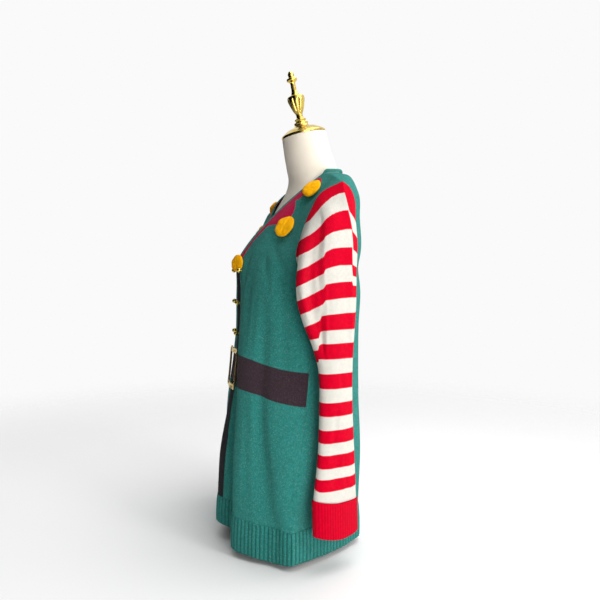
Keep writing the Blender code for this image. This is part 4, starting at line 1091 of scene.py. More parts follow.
def closed_rings(grid):
    """Points and faces of rings closed by a fan at each end."""
    rows, columns = grid.shape[:2]
    quads = grid_quads(rows, columns, True)
    c = np.arange(columns)
    after, top = (c + 1) % columns, (rows - 1) * columns
    low, high = rows * columns, rows * columns + 1
    fans = [np.stack([c * 0 + low, after, c], axis=1), np.stack([c * 0 + high, top + c, top + after], axis=1)]
    points = np.concatenate([grid.reshape(-1, 3), grid[0].mean(axis=0)[None], grid[-1].mean(axis=0)[None]])
    return points, quads.tolist() + fans[0].tolist() + fans[1].tolist()


print("cloth under the centre pompom:", [round(c, 4) for c in level_place(0.0, 0.646, 0.014)[0]])

# %% [markdown]
# ## Pompoms
# The pompoms are felted wool balls pressed almost flat and sewn through the middle: a rounded rim, a
# low crown and a slightly lumpy, fuzzy skin. Each hangs by its stitch, more upright than the cloth.
# It is a turned dome, made uneven by three waves round it, thinner towards the outer side, and its
# back follows the cloth, except the middle one's, which stands clear of the V's point as a whole.

# %% Pompoms
POMPOM_LEAN, POMPOM_SEGMENTS = 0.45, 56
STITCH_DIMPLE = 0.0007
POMPOM_WAVES = (
    # waves round, height as a share of the radius, share of the seed, turn from middle to rim
    (3, 0.018, 1, 0),
    (7, 0.012, 2, 0),
    (5, 0.012, -1, 4),
)
POMPOM_PLACES = {
    # pompom: x, z, how far it is turned aside, the share of the cloth's slope it keeps, radius, rise
    "left_shoulder": (0.120, 0.817, 0.25, 0.05, 0.0218, 0.0150),
    "left_chest": (0.120, 0.727, 0.13, 0.05, 0.0242, 0.0140),
    "centre": (0.020, 0.646, 0.14, 0.40, 0.0203, 0.0100),
    "right_chest": (-0.126, 0.734, -0.12, 0.40, 0.0232, 0.0120),
    "right_shoulder": (-0.117, 0.797, 0.00, 0.40, 0.0205, 0.0085),
}


def dome_profile(radius, rise, count=9):
    """A flat back, and a rim from -36 to 87 degrees that is radius sqrt(cos a) wide and stands
    rise (0.4 + 0.6 sin a) high, so that it runs on into a low crown."""
    a = np.linspace(-0.2 * math.pi, 0.485 * math.pi, count * 2)
    rim = np.stack([radius * np.cos(a) ** 0.5, rise * (0.40 + 0.60 * np.sin(a))], axis=1)
    back = np.stack([np.linspace(0.12, 0.9, count) * radius, np.zeros(count)], axis=1)
    return np.concatenate([back, rim])


def pompom(name, x, z, aside, hang, radius, rise, seed):
    """One pompom: the turned dome, lumpy by a sum of sines, leaning, laid to the cloth at (x, z)."""
    place, normal = level_place(x, z, radius * 0.6)
    turn = upright_turn(Vector((normal.x + aside, normal.y, normal.z * hang)).normalized())
    grid = turned_grid(dome_profile(radius, rise), POMPOM_SEGMENTS)
    angle = np.arctan2(grid[..., 1], grid[..., 0])
    reach = np.hypot(grid[..., 0], grid[..., 1]) / radius
    lump = sum(high * np.sin(n * angle + s * seed + r * reach) for n, high, s, r in POMPOM_WAVES)
    grid[..., :2] *= 1 + (lump * reach)[..., None]
    grid[..., 2] *= (1 - POMPOM_LEAN * grid[..., 0] / radius * np.sign(x)) * (1 + 1.6 * lump)
    grid[..., 2] -= STITCH_DIMPLE * np.exp(-((reach / 0.12) ** 2)) * (grid[..., 2] > 0.004)
    flat = grid.reshape(-1, 3)
    if name == "centre":
        flat[:, 2] += cloth_heights(place, turn, flat[::7, :2]).max() + 0.0005
    else:
        flat[:, 2] += cloth_heights(place, turn, flat[:, :2], 0.003) + 0.0006
    grid = (flat @ np.array(turn).T + np.array(place)).reshape(grid.shape)
    return mesh_object(f"pompom_{name}_felt", *closed_rings(grid))


pompoms = {
    f"pompom_{name}": pompom(name, *place, 1.7 * k) for k, (name, place) in enumerate(POMPOM_PLACES.items())
}

# %% [markdown]
# ## Jingle bells
# Six tiny jingle bells are sewn down the centre front. A jingle bell is pressed from two half
# shells: a ball with a bead round its middle and a slot across its mouth. The ball is a turned
# circle; the bead swells its radius near the middle, and the slot sinks the points near one plane.

# %% Bells
BELL_RADIUS, BELL_SEGMENTS = 0.0055, 40


def solid_points(node):
    """A solid's corner points in the cutter's frame."""
    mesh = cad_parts[node].data
    points = np.zeros(len(mesh.vertices) * 3, np.float32)
    mesh.vertices.foreach_get("co", points)
    return points.reshape(-1, 3).astype(float) - DEPTH_SHIFT


def bell(name):
    """One bell about the middle of its solid, facing away from the cloth: radius cos a and sin a for
    a from -85 to 85 degrees on a short shank, swelled by 7% at its bead, sunk by 20% along its slot
    and by 10% at the slot's two round eyes."""
    points = solid_points(name)
    middle = (points.min(axis=0) + points.max(axis=0)) / 2
    _, normal = level_place(middle[0], middle[2], 0.006)
    turn, radius = upright_turn(normal), BELL_RADIUS
    along = (points - middle) @ np.array(normal)
    centre = middle + np.array(normal) * (along.max() - radius)
    a = np.linspace(-0.47 * math.pi, 0.47 * math.pi, 33)
    bead = 1 + 0.07 * np.exp(-((a / 0.09) ** 2))
    ball = np.stack([radius * np.cos(a) * bead, radius * np.sin(a)], axis=1)
    shank = np.array([(radius * 0.30, -radius * 1.28), (radius * 0.30, -radius * 1.02)])
    grid = turned_grid(np.concatenate([shank, ball]), BELL_SEGMENTS)
    slot = np.exp(-((grid[..., 0] / (radius * 0.13)) ** 2)) * (grid[..., 2] > radius * 0.25)
    grid = grid * (1 - 0.20 * slot[..., None])
    from_eye = (np.abs(grid[..., 1]) - radius * 0.72) ** 2 + grid[..., 0] ** 2
    eyes = np.exp(-(from_eye / (radius * 0.2) ** 2)) * (grid[..., 2] > 0)
    grid = grid * (1 - 0.10 * eyes[..., None])
    points, faces = closed_rings(grid)
    return mesh_object(name + "_brass", points @ np.array(turn).T + centre, faces)


bells = {name: bell(name) for name in sorted(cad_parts) if name.startswith("bell_")}

# %% [markdown]
# ## The buckle
# The buckle is a stamped metal frame, square with round corners, its bar dished between two raised
# lips. A profile across the bar is carried along the frame's outline: for each station of the
# outline the profile's across value blends from the outer outline to the inner one.

# %% Buckle
BUCKLE_SIZE, BUCKLE_BAR, BUCKLE_THICK = (0.090, 0.096), 0.012, 0.003
BUCKLE_CORNERS = (0.008, 0.003)  # radius outside and inside
BUCKLE_CLEARANCE = 0.0008
RIDGE_SOFTNESS = 0.01
HALF_PROFILE = (
    # across the bar from its outside (0) to its middle (0.5), height above the back
    (0.00, 0.0000),
    (-0.01, 0.0010),
    (0.00, 0.0024),
    (0.05, 0.0029),
    (0.14, 0.0030),
    (0.22, 0.0026),
    (0.30, 0.0017),
    (0.50, 0.0014),
)
OTHER_HALF = tuple((1 - across, height) for across, height in HALF_PROFILE[-2::-1])
BUCKLE_PROFILE = np.array(HALF_PROFILE + OTHER_HALF)


def rounded_frame(width, height, radius, steps=10, straight=14):
    """A rectangle's outline with round corners: quarter circles joined by even straight steps."""
    outline = []
    for k, (sx, sy) in enumerate(((1, 1), (-1, 1), (-1, -1), (1, -1))):
        a = np.linspace(k * math.pi / 2, (k + 1) * math.pi / 2, steps + 1)
        middle = np.array((sx * (width / 2 - radius), sy * (height / 2 - radius)))
        outline.append(middle + radius * np.stack([np.cos(a), np.sin(a)], axis=1))
    filled = []
    for corner, after in zip(outline, outline[1:] + outline[:1]):
        run = np.linspace(0, 1, straight + 2)[1:-1, None]
        filled += [corner, corner[-1] * (1 - run) + after[0] * run]
    return np.concatenate(filled)


def bent(x, y):
    """The terms of the buckle's bend over its plane: 1, x, y, x^2, y^2 and a softened ridge,
    sqrt(x^2 + softness^2)."""
    return np.stack([x * 0 + 1, x, y, x * x, y * y, np.sqrt(x * x + RIDGE_SOFTNESS**2)], axis=-1)


def buckle():
    """The buckle over the plane of its solid, whose least spread is its normal, bent to the belly:
    the bend's terms are fitted to the cloth under it by least squares, and lifted clear of it."""
    points = solid_points("buckle")
    middle = points.mean(axis=0)
    normal = Vector(np.linalg.svd(points - middle)[2][2])
    normal = normal if normal.y < 0 else -normal
    turn = upright_turn(normal)
    outer = rounded_frame(*BUCKLE_SIZE, BUCKLE_CORNERS[0])
    inner = rounded_frame(*(size - 2 * BUCKLE_BAR for size in BUCKLE_SIZE), BUCKLE_CORNERS[1])
    across, height = BUCKLE_PROFILE[:, 0, None, None], BUCKLE_PROFILE[:, 1] - BUCKLE_THICK / 2
    plan = outer * (1 - across) + inner * across
    grid = np.concatenate([plan, np.broadcast_to(height[:, None, None], plan.shape[:2] + (1,))], axis=2)
    flat = np.concatenate([outer, (outer + inner) / 2, inner])
    under = cloth_heights(Vector(middle), turn, flat)
    shape = np.linalg.lstsq(bent(*flat.T), under, rcond=None)[0]
    lift = (under - bent(*flat.T) @ shape).max() + BUCKLE_THICK / 2 + BUCKLE_CLEARANCE
    grid[..., 2] += bent(grid[..., 0], grid[..., 1]) @ shape + lift
    rows, columns = grid.shape[:2]
    quads = grid_quads(rows, columns, True).tolist()
    c = np.arange(columns)
    after, last = (c + 1) % columns, (rows - 1) * columns
    quads += np.stack([last + c, last + after, after, c], axis=1).tolist()
    laid = grid.reshape(-1, 3) @ np.array(turn).T + middle
    made = mesh_object("buckle_brass", laid, quads, 38)
    # the bar's outer side walls, which its finish paints dark brown as a painted dark reflection
    mark_points(made, "cut_edge", np.repeat(np.abs(BUCKLE_PROFILE[:, 0] - 0.5) > 0.47, columns))
    return made


buckle_brass = buckle()

# %% [markdown]
# ## The dress form
# The form is a padded torso with a leaning neck, covered in cream jersey and closed by a gold cap
# with a fluted urn finial. The torso is a stack of superellipses: x = w sgn(cos a) |cos a|^p and
# y alike, with p = 2 over the squareness. Cap, finial, pole and foot are turned.

# %% Form, cap, pole and foot
FORM_RINGS = (
    # z,    y front, y back, half width, lean, squareness
    (0.275, -0.098, 0.070, 0.138, 0.0, 2.2),
    (0.290, -0.108, 0.074, 0.146, 0.0, 2.2),
    (0.345, -0.112, 0.078, 0.148, 0.0, 2.2),
    (0.400, -0.105, 0.074, 0.136, 0.0, 2.2),
    (0.455, -0.098, 0.070, 0.121, 0.0, 2.2),
    (0.520, -0.108, 0.078, 0.127, 0.0, 2.2),
    (0.585, -0.126, 0.088, 0.138, 0.0, 2.2),
    (0.635, -0.128, 0.094, 0.146, 0.0, 2.1),
    (0.685, -0.106, 0.097, 0.152, 0.0, 2.0),
    (0.735, -0.078, 0.096, 0.152, 0.0, 2.0),
    (0.765, -0.060, 0.092, 0.149, 0.0, 2.0),
    (0.790, -0.048, 0.092, 0.147, 0.0, 1.8),
    (0.808, -0.040, 0.093, 0.134, 0.0, 1.6),
    (0.822, -0.034, 0.095, 0.103, 0.0, 1.6),
    (0.838, -0.029, 0.098, 0.076, 2.0, 1.8),
    (0.862, -0.026, 0.100, 0.0620, 5.0, 2.0),
    (0.890, -0.031, 0.0925, 0.0590, 7.0, 2.0),
    (0.915, -0.036, 0.082, 0.0565, 9.0, 2.0),
    (0.968, -0.044, 0.066, 0.0545, 13.0, 2.0),
)
FINIAL_PROFILE = (
    # radius, height
    (0.0555, 0.0000),
    (0.0560, 0.0035),
    (0.0500, 0.0090),
    (0.0350, 0.0175),
    (0.0190, 0.0240),
    (0.0170, 0.0270),
    (0.0180, 0.0315),
    (0.0125, 0.0350),
    (0.0145, 0.0400),
    (0.0095, 0.0440),
    (0.0085, 0.0520),
    (0.0130, 0.0620),
    (0.0190, 0.0790),
    (0.0215, 0.0910),
    (0.0205, 0.0970),
    (0.0110, 0.1010),
    (0.0080, 0.1080),
    (0.0065, 0.1220),
    (0.0070, 0.1320),
    (0.0130, 0.1375),
    (0.0130, 0.1415),
    (0.0075, 0.1450),
    (0.0078, 0.1530),
    (0.0050, 0.1590),
)
URN_HEIGHTS, URN_FLUTES, FLUTE_DEPTH = (0.056, 0.095), 8, 0.13
FLUTE_FADE = 0.006  # over which the flutes run out above and below
NECK_LEAN = math.radians(13.0)
POLE_RADIUS, POLE_Y = 0.0125, -0.042
FOOT_RADIUS, FOOT_HEIGHT = 0.115, 0.012
SOCKET_PROFILE = (
    # radius, height above the foot
    (0.0260, 0.001),
    (0.0215, 0.003),
    (0.0195, 0.006),
    (0.0190, 0.013),
    (0.0180, 0.014),
)


def form():
    """The torso and neck: each size of the rings runs smoothly with height."""
    table = np.array(FORM_RINGS)
    z = np.concatenate([table[:1, 0], np.linspace(table[0, 0] + 0.002, table[-1, 0], 150)])
    front_y, back_y, half_width, lean, square = smooth_curve(table[:, 0], table[:, 1:], z).T[..., None]
    a = np.linspace(0, 2 * math.pi, 128, endpoint=False)
    power = 2.0 / square
    across = np.sign(np.cos(a)) * np.abs(np.cos(a)) ** power * half_width
    depth = np.sign(np.sin(a)) * np.abs(np.sin(a)) ** power * (back_y - front_y) / 2
    slope = np.radians(lean)
    y = (front_y + back_y) / 2 + depth * np.cos(slope)
    grid = np.stack([across, y, z[:, None] + depth * np.sin(slope)], axis=-1)
    return mesh_object("form_jersey", *closed_rings(grid), 50)


def finial():
    """Cap and finial turned from a smooth moulding, fluted over the urn, leaning with the neck."""
    table = np.array(FINIAL_PROFILE)
    run = lengths_along(table)
    profile = smooth_curve(run, table, np.linspace(0, run[-1], 220))
    low, high = URN_HEIGHTS

    def flutes(angle, height):
        """1 less the flute depth times (1 - |sin(flutes angle / 2)|) ^ 1.6 between the urn's heights."""
        inside = np.clip((height - low) / FLUTE_FADE, 0, 1) * np.clip((high - height) / FLUTE_FADE, 0, 1)
        return 1 - FLUTE_DEPTH * inside * (1 - np.abs(np.sin(angle * URN_FLUTES / 2))) ** 1.6

    grid = turned_grid(profile, 96, flutes)
    neck = FORM_RINGS[-1]
    axis = np.array((0, -math.sin(NECK_LEAN), math.cos(NECK_LEAN)))
    place = np.array((0.0, (neck[1] + neck[2]) / 2, neck[0])) + axis * 2 * SEAM_GAP
    points, faces = closed_rings(grid)
    turn = np.array(Matrix.Rotation(NECK_LEAN, 3, "X"))
    return mesh_object("finial_brass", points @ turn.T + place, faces, 42)


def foot_profile(lower=0.003, upper=0.004):
    """The foot's outline from underneath: a quarter round of the lower radius at its edge, one of the
    upper radius over it, then the socket."""
    a = np.linspace(0, math.pi / 2, 7)
    middle = np.array((FOOT_RADIUS - upper, FOOT_HEIGHT - upper))
    below = np.stack([FOOT_RADIUS - lower + lower * np.sin(a), lower - lower * np.cos(a)], axis=1)
    above = middle + upper * np.stack([np.cos(a), np.sin(a)], axis=1)
    return np.concatenate([below, above, np.array(SOCKET_PROFILE) + (0.0, FOOT_HEIGHT)])


def stand():
    """The round foot with its socket, and the pole from the socket up to the torso."""
    at = np.array((0.0, POLE_Y, 0.0))
    points, faces = closed_rings(turned_grid(foot_profile(), 96))
    foot = mesh_object("foot_steel", points + at, faces, 40)
    low, top = FOOT_HEIGHT + SOCKET_PROFILE[-1][1] + SEAM_GAP, FORM_RINGS[0][0] - SEAM_GAP
    rows = np.stack([np.full(3, POLE_RADIUS), np.linspace(low, top, 3)], axis=1)
    points, faces = closed_rings(turned_grid(rows, 48))
    return foot, mesh_object("pole_steel", points + at, faces, 40)


form_jersey, finial_brass = form(), finial()
foot_steel, pole_steel = stand()

# %% [markdown]
# ## Knitted cloth
# Stocking stitch shows its V's: each column of loops is a wale and each row a course. The loops are
# drawn as a height. With x the distance from a wale's middle, from 0 to 1, a leg is
# sin(pi frac(v / course + x)) to the power 0.6, and sin(pi x) + 0.35 rounds it across. The yarn is
# heathered, so pale fibres fleck it, and it has a short nap that scatters light, so it looks soft and
# has no highlight. Real stitches here are finer than drawn, which keeps them from flickering.

# %% The knit's height and its flecks
WALE, COURSE, STITCH_LIFT = 0.0042, 0.0034, 0.0011  # width, height and depth of a stitch, metres
RIB_WALE, CUFF_RIB_WALE, RIB_COURSE, RIB_LIFT = 0.0034, 0.0030, 0.0032, 0.0008
MARK_STEP, BAND_STEP = 0.0014, 0.0016  # how far a colour's border steps with x
MARK_EDGE = (-0.0003, 0.0010)  # from the yarn inside a mark to the yarn outside


def stitches(tree, wale, course):
    """The height of the V's, from 0 to 1.35, and x. The UV map is in metres across and along."""
    uv = add(tree, "SeparateXYZ", [add(tree, "UVMap", uv_map="cloth")])
    wales = add(tree, "Math", [uv.outputs[0], wale / 2], operation="DIVIDE")
    across = add(tree, "Math", [wales, 1.0], operation="PINGPONG")
    courses = add(tree, "Math", [uv.outputs[1], course], operation="DIVIDE")
    slanted = add(tree, "Math", [courses, across], operation="ADD")
    part = add(tree, "Math", [slanted], operation="FRACT")
    along_leg = add(tree, "Math", [part, math.pi], operation="MULTIPLY")
    arch = add(tree, "Math", [along_leg], operation="SINE")
    leg = add(tree, "Math", [arch, 0.6], operation="POWER")
    over = add(tree, "Math", [across, math.pi], operation="MULTIPLY")
    roundness = add(tree, "Math", [over], operation="SINE")
    raised = add(tree, "Math", [roundness, 0.35], operation="ADD")
    return add(tree, "Math", [leg, raised], operation="MULTIPLY"), across


def speckle(tree, scale, low, high, most=1.0, detail=2.0):
    """Noise of that many lumps a metre, 0 where it is below low and `most` where it is above high."""
    at = add(tree, "TexCoord").outputs["Object"]
    noise = add(tree, "TexNoise", {"Vector": at, "Scale": scale, "Detail": detail})
    return add(tree, "MapRange", [noise, low, high, 0.0, most])


def inside_mark(tree, name, across):
    """1 inside the mark with that name and 0 outside, its border stepped along the stitches."""
    mark = add(tree, "Attribute", attribute_name=name).outputs["Fac"]
    stepped = add(tree, "Math", [across, MARK_STEP, mark], operation="MULTIPLY_ADD")
    return add(tree, "MapRange", [stepped, *MARK_EDGE, 1.0, 0.0])


def knit(name, colour_of, wale=WALE, course=COURSE, lift=STITCH_LIFT, sheen=0.06):
    """A knitted finish. colour_of(tree, stitch height, distance from the wale's middle) gives the
    yarn's colour. Wool scatters light at its fibre ends, so it has sheen and is very rough."""
    matt = {"Roughness": 0.9, "Specular IOR Level": sheen, "Sheen Weight": sheen, "Sheen Roughness": 0.5}
    made, tree, shader = finish(name, matt)
    height, across = stitches(tree, wale, course)
    at = add(tree, "TexCoord").outputs["Object"]
    nap = add(tree, "TexNoise", {"Vector": at, "Scale": 900.0, "Detail": 3.0})
    raised = add(tree, "Math", [nap, 0.55, height], operation="MULTIPLY_ADD")
    bump = add(tree, "Bump", {"Height": raised, "Strength": 0.8, "Distance": lift})
    fill(tree, shader, {"Base Color": colour_of(tree, height, across), "Normal": bump})
    return made


def heather(tree, height, ground, shade, fleck=None, amount=0.0):
    """A heathered yarn: painted shade darkening it between the stitches, slow dye variation, and pale flecks.
    """
    # painted shade: the yarn is painted darker between the stitches, where the loops dip
    between = add(tree, "MapRange", [height, 0.0, 1.0, 0.7, 0.0])
    colour = dyed(tree, ground, (between, shade), (speckle(tree, 150.0, 0.38, 0.62, 0.22), shade))
    return dyed(tree, colour, (speckle(tree, 420.0, 0.50, 0.72, amount, 3.0), fleck)) if fleck else colour


def green_yarn(tree, height, _across):
    """The green of the panels and the neck band."""
    return heather(tree, height, "fir_green", "fir_green_painted_shade_and_dye", "fir_green_fleck", 0.35)


def red_yarn(tree, height):
    """The red of the sleeves and cuffs."""
    return heather(tree, height, "santa_red", "santa_red_painted_shade_and_dye")


COLLAR_PAINTED_SHADE_AND_DYE = "collar_crimson_painted_shade_and_dye"


def front_yarns(tree, height, across):
    """Green with the charcoal stripe, the brown belt and the crimson collar knitted in."""
    yarns = {
        "stripe": heather(tree, height, "stripe_charcoal", "stripe_charcoal", "belt_brown", 0.45),
        "belt": heather(tree, height, "belt_brown", "belt_brown", "belt_brown_fleck", 0.45),
        "collar": heather(tree, height, "collar_crimson", COLLAR_PAINTED_SHADE_AND_DYE, COLLAR_PAINTED_SHADE_AND_DYE, 0.25),
    }
    layers = [(inside_mark(tree, mark, across), yarn) for mark, yarn in yarns.items()]
    return dyed(tree, green_yarn(tree, height, across), *layers)


STRIPE_EDGES = (
    # lower edge of each band, red and white by turns from the shoulder down
    0.7897, 0.7495, 0.7076, 0.6740, 0.6353, 0.6020, 0.5664, 0.5358, 0.5016, 0.4721,
    0.4409, 0.4107, 0.3799, 0.3518, 0.3225, 0.2934, 0.2655, 0.2387, 0.2121, 0.1880, 0.1639,
)
STRIPES_FROM, STRIPES_TO = 0.1, 0.9


def sleeve_yarns(tree, height, across):
    """Red and white bands of about nine courses each, by the height kept at the sleeve's points."""
    course = add(tree, "Attribute", attribute_name="course").outputs["Fac"]
    stepped = add(tree, "Math", [across, BAND_STEP, course], operation="MULTIPLY_ADD")
    ramp = add(tree, "ValToRGB", [add(tree, "MapRange", [stepped, STRIPES_FROM, STRIPES_TO])])
    ramp.color_ramp.interpolation = "CONSTANT"
    stops = ramp.color_ramp.elements
    stops.remove(stops[1])
    for k, edge in enumerate([STRIPES_FROM] + sorted(STRIPE_EDGES)):
        place = (edge - STRIPES_FROM) / (STRIPES_TO - STRIPES_FROM)
        stop = stops.new(place) if k else stops[0]
        stop.position, stop.color = place, (0.0, 0.0, 0.0, 1.0) if k % 2 else (1.0, 1.0, 1.0, 1.0)
    return dyed(tree, red_yarn(tree, height), (ramp, heather(tree, height, "wool_white", "wool_white_painted_shade_and_dye")))


def ribbed(tree, colour, shade):
    """The colour painted darker down in the grooves between the ribs: painted shade."""
    groove = add(tree, "Attribute", attribute_name="groove").outputs["Fac"]
    # painted shade in the grooves: the darker tone's share grows towards each groove's bottom
    groove_painted_shade = add(tree, "Math", [groove, 1.6], operation="POWER")
    return dyed(tree, colour, (add(tree, "Math", [groove_painted_shade, 0.75], operation="MULTIPLY"), shade))


def green_rib_yarn(tree, height, across):
    """The green of the hem."""
    return ribbed(tree, green_yarn(tree, height, across), "fir_green_painted_shade_and_dye")


def red_rib_yarn(tree, height, _across):
    """The red of the cuffs."""
    return ribbed(tree, red_yarn(tree, height), "santa_red_painted_shade_and_dye")


front_knit = knit("green heathered stocking stitch with brown and crimson knitted in", front_yarns)
back_knit = knit("green heathered stocking stitch", green_yarn)
sleeve_knit = knit("red and white striped stocking stitch", sleeve_yarns, sheen=0.02)
neck_rib = knit("green linked neck edge", green_yarn, RIB_WALE, RIB_COURSE, RIB_LIFT)
hem_rib = knit("green one by one rib", green_rib_yarn, RIB_WALE, RIB_COURSE, RIB_LIFT)
cuff_rib = knit("red one by one rib", red_rib_yarn, CUFF_RIB_WALE, RIB_COURSE, RIB_LIFT, 0.02)
print("knitted finishes:", len(bpy.data.materials))

# %% [markdown]
# ## Felt, brass, jersey and steel
# Felted wool is matt, and painted paler on its higher lumps, where its fibres stand off: a painted sheen
# that makes it look soft. Cheap brass plate is nearly a mirror, with duller, browner patches that
# break up what it reflects. Jersey is so fine a knit that it looks smooth from a step away. Brushed
# steel has fine scratches round its axis, which draw its highlights out sideways.

# %% Finishes of the small parts
FORM_AXIS_Y, JERSEY_WALES, JERSEY_COURSE = 0.03, 420.0, 0.0012


def felt():
    """Amber felt: a fuzz of about 2 mm over lumps of about 7 mm, painted paler the higher a lump stands, as
    painted sheen.
    """
    matt = {"Roughness": 0.92, "Specular IOR Level": 0.03, "Sheen Weight": 0.04, "Sheen Roughness": 0.4}
    made, tree, shader = finish("amber wool felt", matt)
    fuzz, lumps = speckle(tree, 480.0, 0.25, 0.8, detail=4.0), speckle(tree, 150.0, 0.3, 0.75)
    # painted sheen: the higher a lump stands, the paler it is painted
    paler = add(tree, "Math", [lumps, 0.6], operation="MULTIPLY")
    raised = add(tree, "Math", [fuzz, lumps], operation="ADD")
    bump = add(tree, "Bump", {"Height": raised, "Strength": 0.7, "Distance": 0.0009})
    fill(tree, shader, {"Base Color": dyed(tree, "felt_amber", (paler, "felt_amber_painted_sheen")), "Normal": bump})
    return made


def brass(name, roughness, scale, cut=False):
    """Brass plate: dull patches in a bright ground, with the roughness following them. A stamped sheet's cut
    edges are painted dark brown, a painted dark reflection on the sides of the bar."""
    made, tree, shader = finish(name, {"Metallic": 1.0})
    patches = speckle(tree, scale, 0.42, 0.68, detail=5.0)
    colour = dyed(tree, "brass", (patches, "old_brass"))
    if cut:
        # painted dark reflection: the marked side walls of the bar are painted near-black brown
        cut_edge = add(tree, "Attribute", attribute_name="cut_edge").outputs["Fac"]
        colour = dyed(tree, colour, (cut_edge, "brass_edge_painted_dark"))
    rough = add(tree, "MapRange", {0: patches, 3: roughness, 4: roughness + 0.22})
    grain = speckle(tree, 700.0, 0.2, 0.9, detail=3.0)
    bump = add(tree, "Bump", {"Height": grain, "Strength": 0.4, "Distance": 0.00012})
    fill(tree, shader, {"Base Color": colour, "Roughness": rough, "Normal": bump})
    return made


def jersey():
    """Cream cotton jersey stretched over padding. Its courses are half a millimetre high, drawn at
    1.2 mm, and its wales are drawn at 420 round the form, about 2 mm each."""
    soft = {"Roughness": 0.78, "Specular IOR Level": 0.3, "Sheen Weight": 0.15, "Sheen Roughness": 0.5}
    made, tree, shader = finish("cream cotton jersey", soft)
    place = add(tree, "SeparateXYZ", [add(tree, "TexCoord").outputs["Object"]])
    behind = add(tree, "Math", [place.outputs[1], FORM_AXIS_Y], operation="SUBTRACT")
    turn = add(tree, "Math", [place.outputs[0], behind], operation="ARCTAN2")
    round_form = add(tree, "Math", [turn, JERSEY_WALES], operation="MULTIPLY")
    up_form = add(tree, "Math", [place.outputs[2], 2 * math.pi / JERSEY_COURSE], operation="MULTIPLY")
    wales = add(tree, "Math", [round_form], operation="SINE")
    courses = add(tree, "Math", [up_form], operation="SINE")
    loops = add(tree, "Math", [wales, courses], operation="MULTIPLY")
    weave = add(tree, "Math", [loops, 0.5, 0.5], operation="MULTIPLY_ADD")
    shaded = add(tree, "Math", [weave, 0.12], operation="MULTIPLY")
    layers = (speckle(tree, 18.0, 0.3, 0.8, 0.5), "form_cream_shade"), (shaded, "form_cream_shade")
    bump = add(tree, "Bump", {"Height": weave, "Strength": 0.5, "Distance": 0.0003})
    fill(tree, shader, {"Base Color": dyed(tree, "form_cream", *layers), "Normal": bump})
    return made


def steel():
    """Brushed steel: rings of fine scratches, as noise stretched round the axis."""
    made, tree, shader = finish("brushed steel", {"Roughness": 0.34, "Metallic": 1.0, "Anisotropic": 0.5})
    stretched = add(tree, "Mapping", {0: add(tree, "TexCoord").outputs["Object"], 3: (30.0, 30.0, 2400.0)})
    noise = add(tree, "TexNoise", {"Vector": stretched, "Scale": 1.0, "Detail": 2.0})
    bump = add(tree, "Bump", {"Height": noise, "Strength": 0.5, "Distance": 0.00008})
    fill(tree, shader, {"Base Color": dyed(tree, "brushed_steel", (noise, "studio_white")), "Normal": bump})
    return made


# what each finish is put on
DRESSING = (
    (front_knit, [front_cloth]),
    (back_knit, [back_cloth]),
    (sleeve_knit, sleeve_cloths.values()),
    (neck_rib, [neck_cloth]),
    (hem_rib, [band_cloths["hem_front"], band_cloths["hem_back"]]),
    (cuff_rib, [band_cloths["cuff_left"], band_cloths["cuff_right"]]),
    (felt(), pompoms.values()),
    (brass("polished brass plate", 0.16, 60.0), [finial_brass]),
    (brass("bright bell brass", 0.24, 220.0), bells.values()),
    (brass("stamped brass plate", 0.26, 90.0, cut=True), [buckle_brass]),
    (jersey(), [form_jersey]),
    (steel(), [foot_steel, pole_steel]),
)
for material, objects in DRESSING:
    for made in objects:
        made.data.materials.append(material)
print("finishes put on:", len(DRESSING))

# %% [markdown]
# ## The studio
# A white floor in a white tent of light. A large soft box to the wearer's left and a little behind is
# the key and throws a soft shadow to their right; a second one beside them lights the sleeve, and a
# third over them the shoulders. Black cloth hangs over the tent's side in front of them: it keeps the
# front darker than the sides, which gives the folds their depth and the brass its dark edges. The
# floor fades out before its edge, so that it joins the tent without a line.

# %% Floor and light
FLOOR_FADE, FLOOR_REACH, FLOOR_SEGMENTS = (0.9, 2.3), 2.4, 64
TENT_STRENGTH, BLACK_CLOTH_EDGE = 0.99, (0.16, 0.55)
SOFT_BOXES = (
    # name, place, what it is turned to, side in metres, watts, tone
    ("key soft box", (2.0, 1.15, 1.5), (0.0, 0.0, 0.5), 0.6, 12.5, (1.0, 0.985, 0.96)),
    ("side soft box", (2.3, 0.1, 0.4), (0.0, 0.0, 0.5), 1.0, 19.5, (1.0, 1.0, 1.0)),
    ("top soft box", (0.4, 0.6, 2.5), (0.0, 0.1, 0.0), 1.6, 24.0, (1.0, 1.0, 1.0)),
)


def floor():
    """A round floor, a disc of rings, whose covering runs out smoothly between the fade's two
    distances from the middle."""
    made, tree, shader = finish("pale studio floor", {"Roughness": 0.9, "Specular IOR Level": 0.1})
    at = add(tree, "TexCoord").outputs["Object"]
    reach = add(tree, "VectorMath", [at], operation="LENGTH").outputs["Value"]
    cover = add(tree, "MapRange", [reach, *FLOOR_FADE, 1.0, 0.0], interpolation_type="SMOOTHSTEP")
    tone = dyed(tree, "floor_white", (speckle(tree, 3.0, 0.3, 0.7, 0.3), "floor_white_shade"))
    fill(tree, shader, {"Base Color": tone, "Alpha": cover})
    rings = [0.001] + list(np.linspace(0.3, FLOOR_REACH, 8))
    grid = turned_grid([(radius, 0.0) for radius in rings], FLOOR_SEGMENTS)
    mesh = bpy.data.meshes.new("studio_floor")
    quads = grid_quads(len(grid), FLOOR_SEGMENTS, True)[:, ::-1]
    mesh.from_pydata(grid.reshape(-1, 3).tolist(), [], quads.tolist())
    mesh.materials.append(made)
    placed("studio_floor", mesh)


def soft_box(name, place, aim, size, power, tone):
    """A square area light at the place, turned to the aim."""
    light = bpy.data.lights.new(name, "AREA")
    light.size, light.energy, light.color = size, power, tone
    made = placed(name, light)
    made.location = place
    made.rotation_euler = (Vector(aim) - Vector(place)).to_track_quat("-Z", "Y").to_euler()


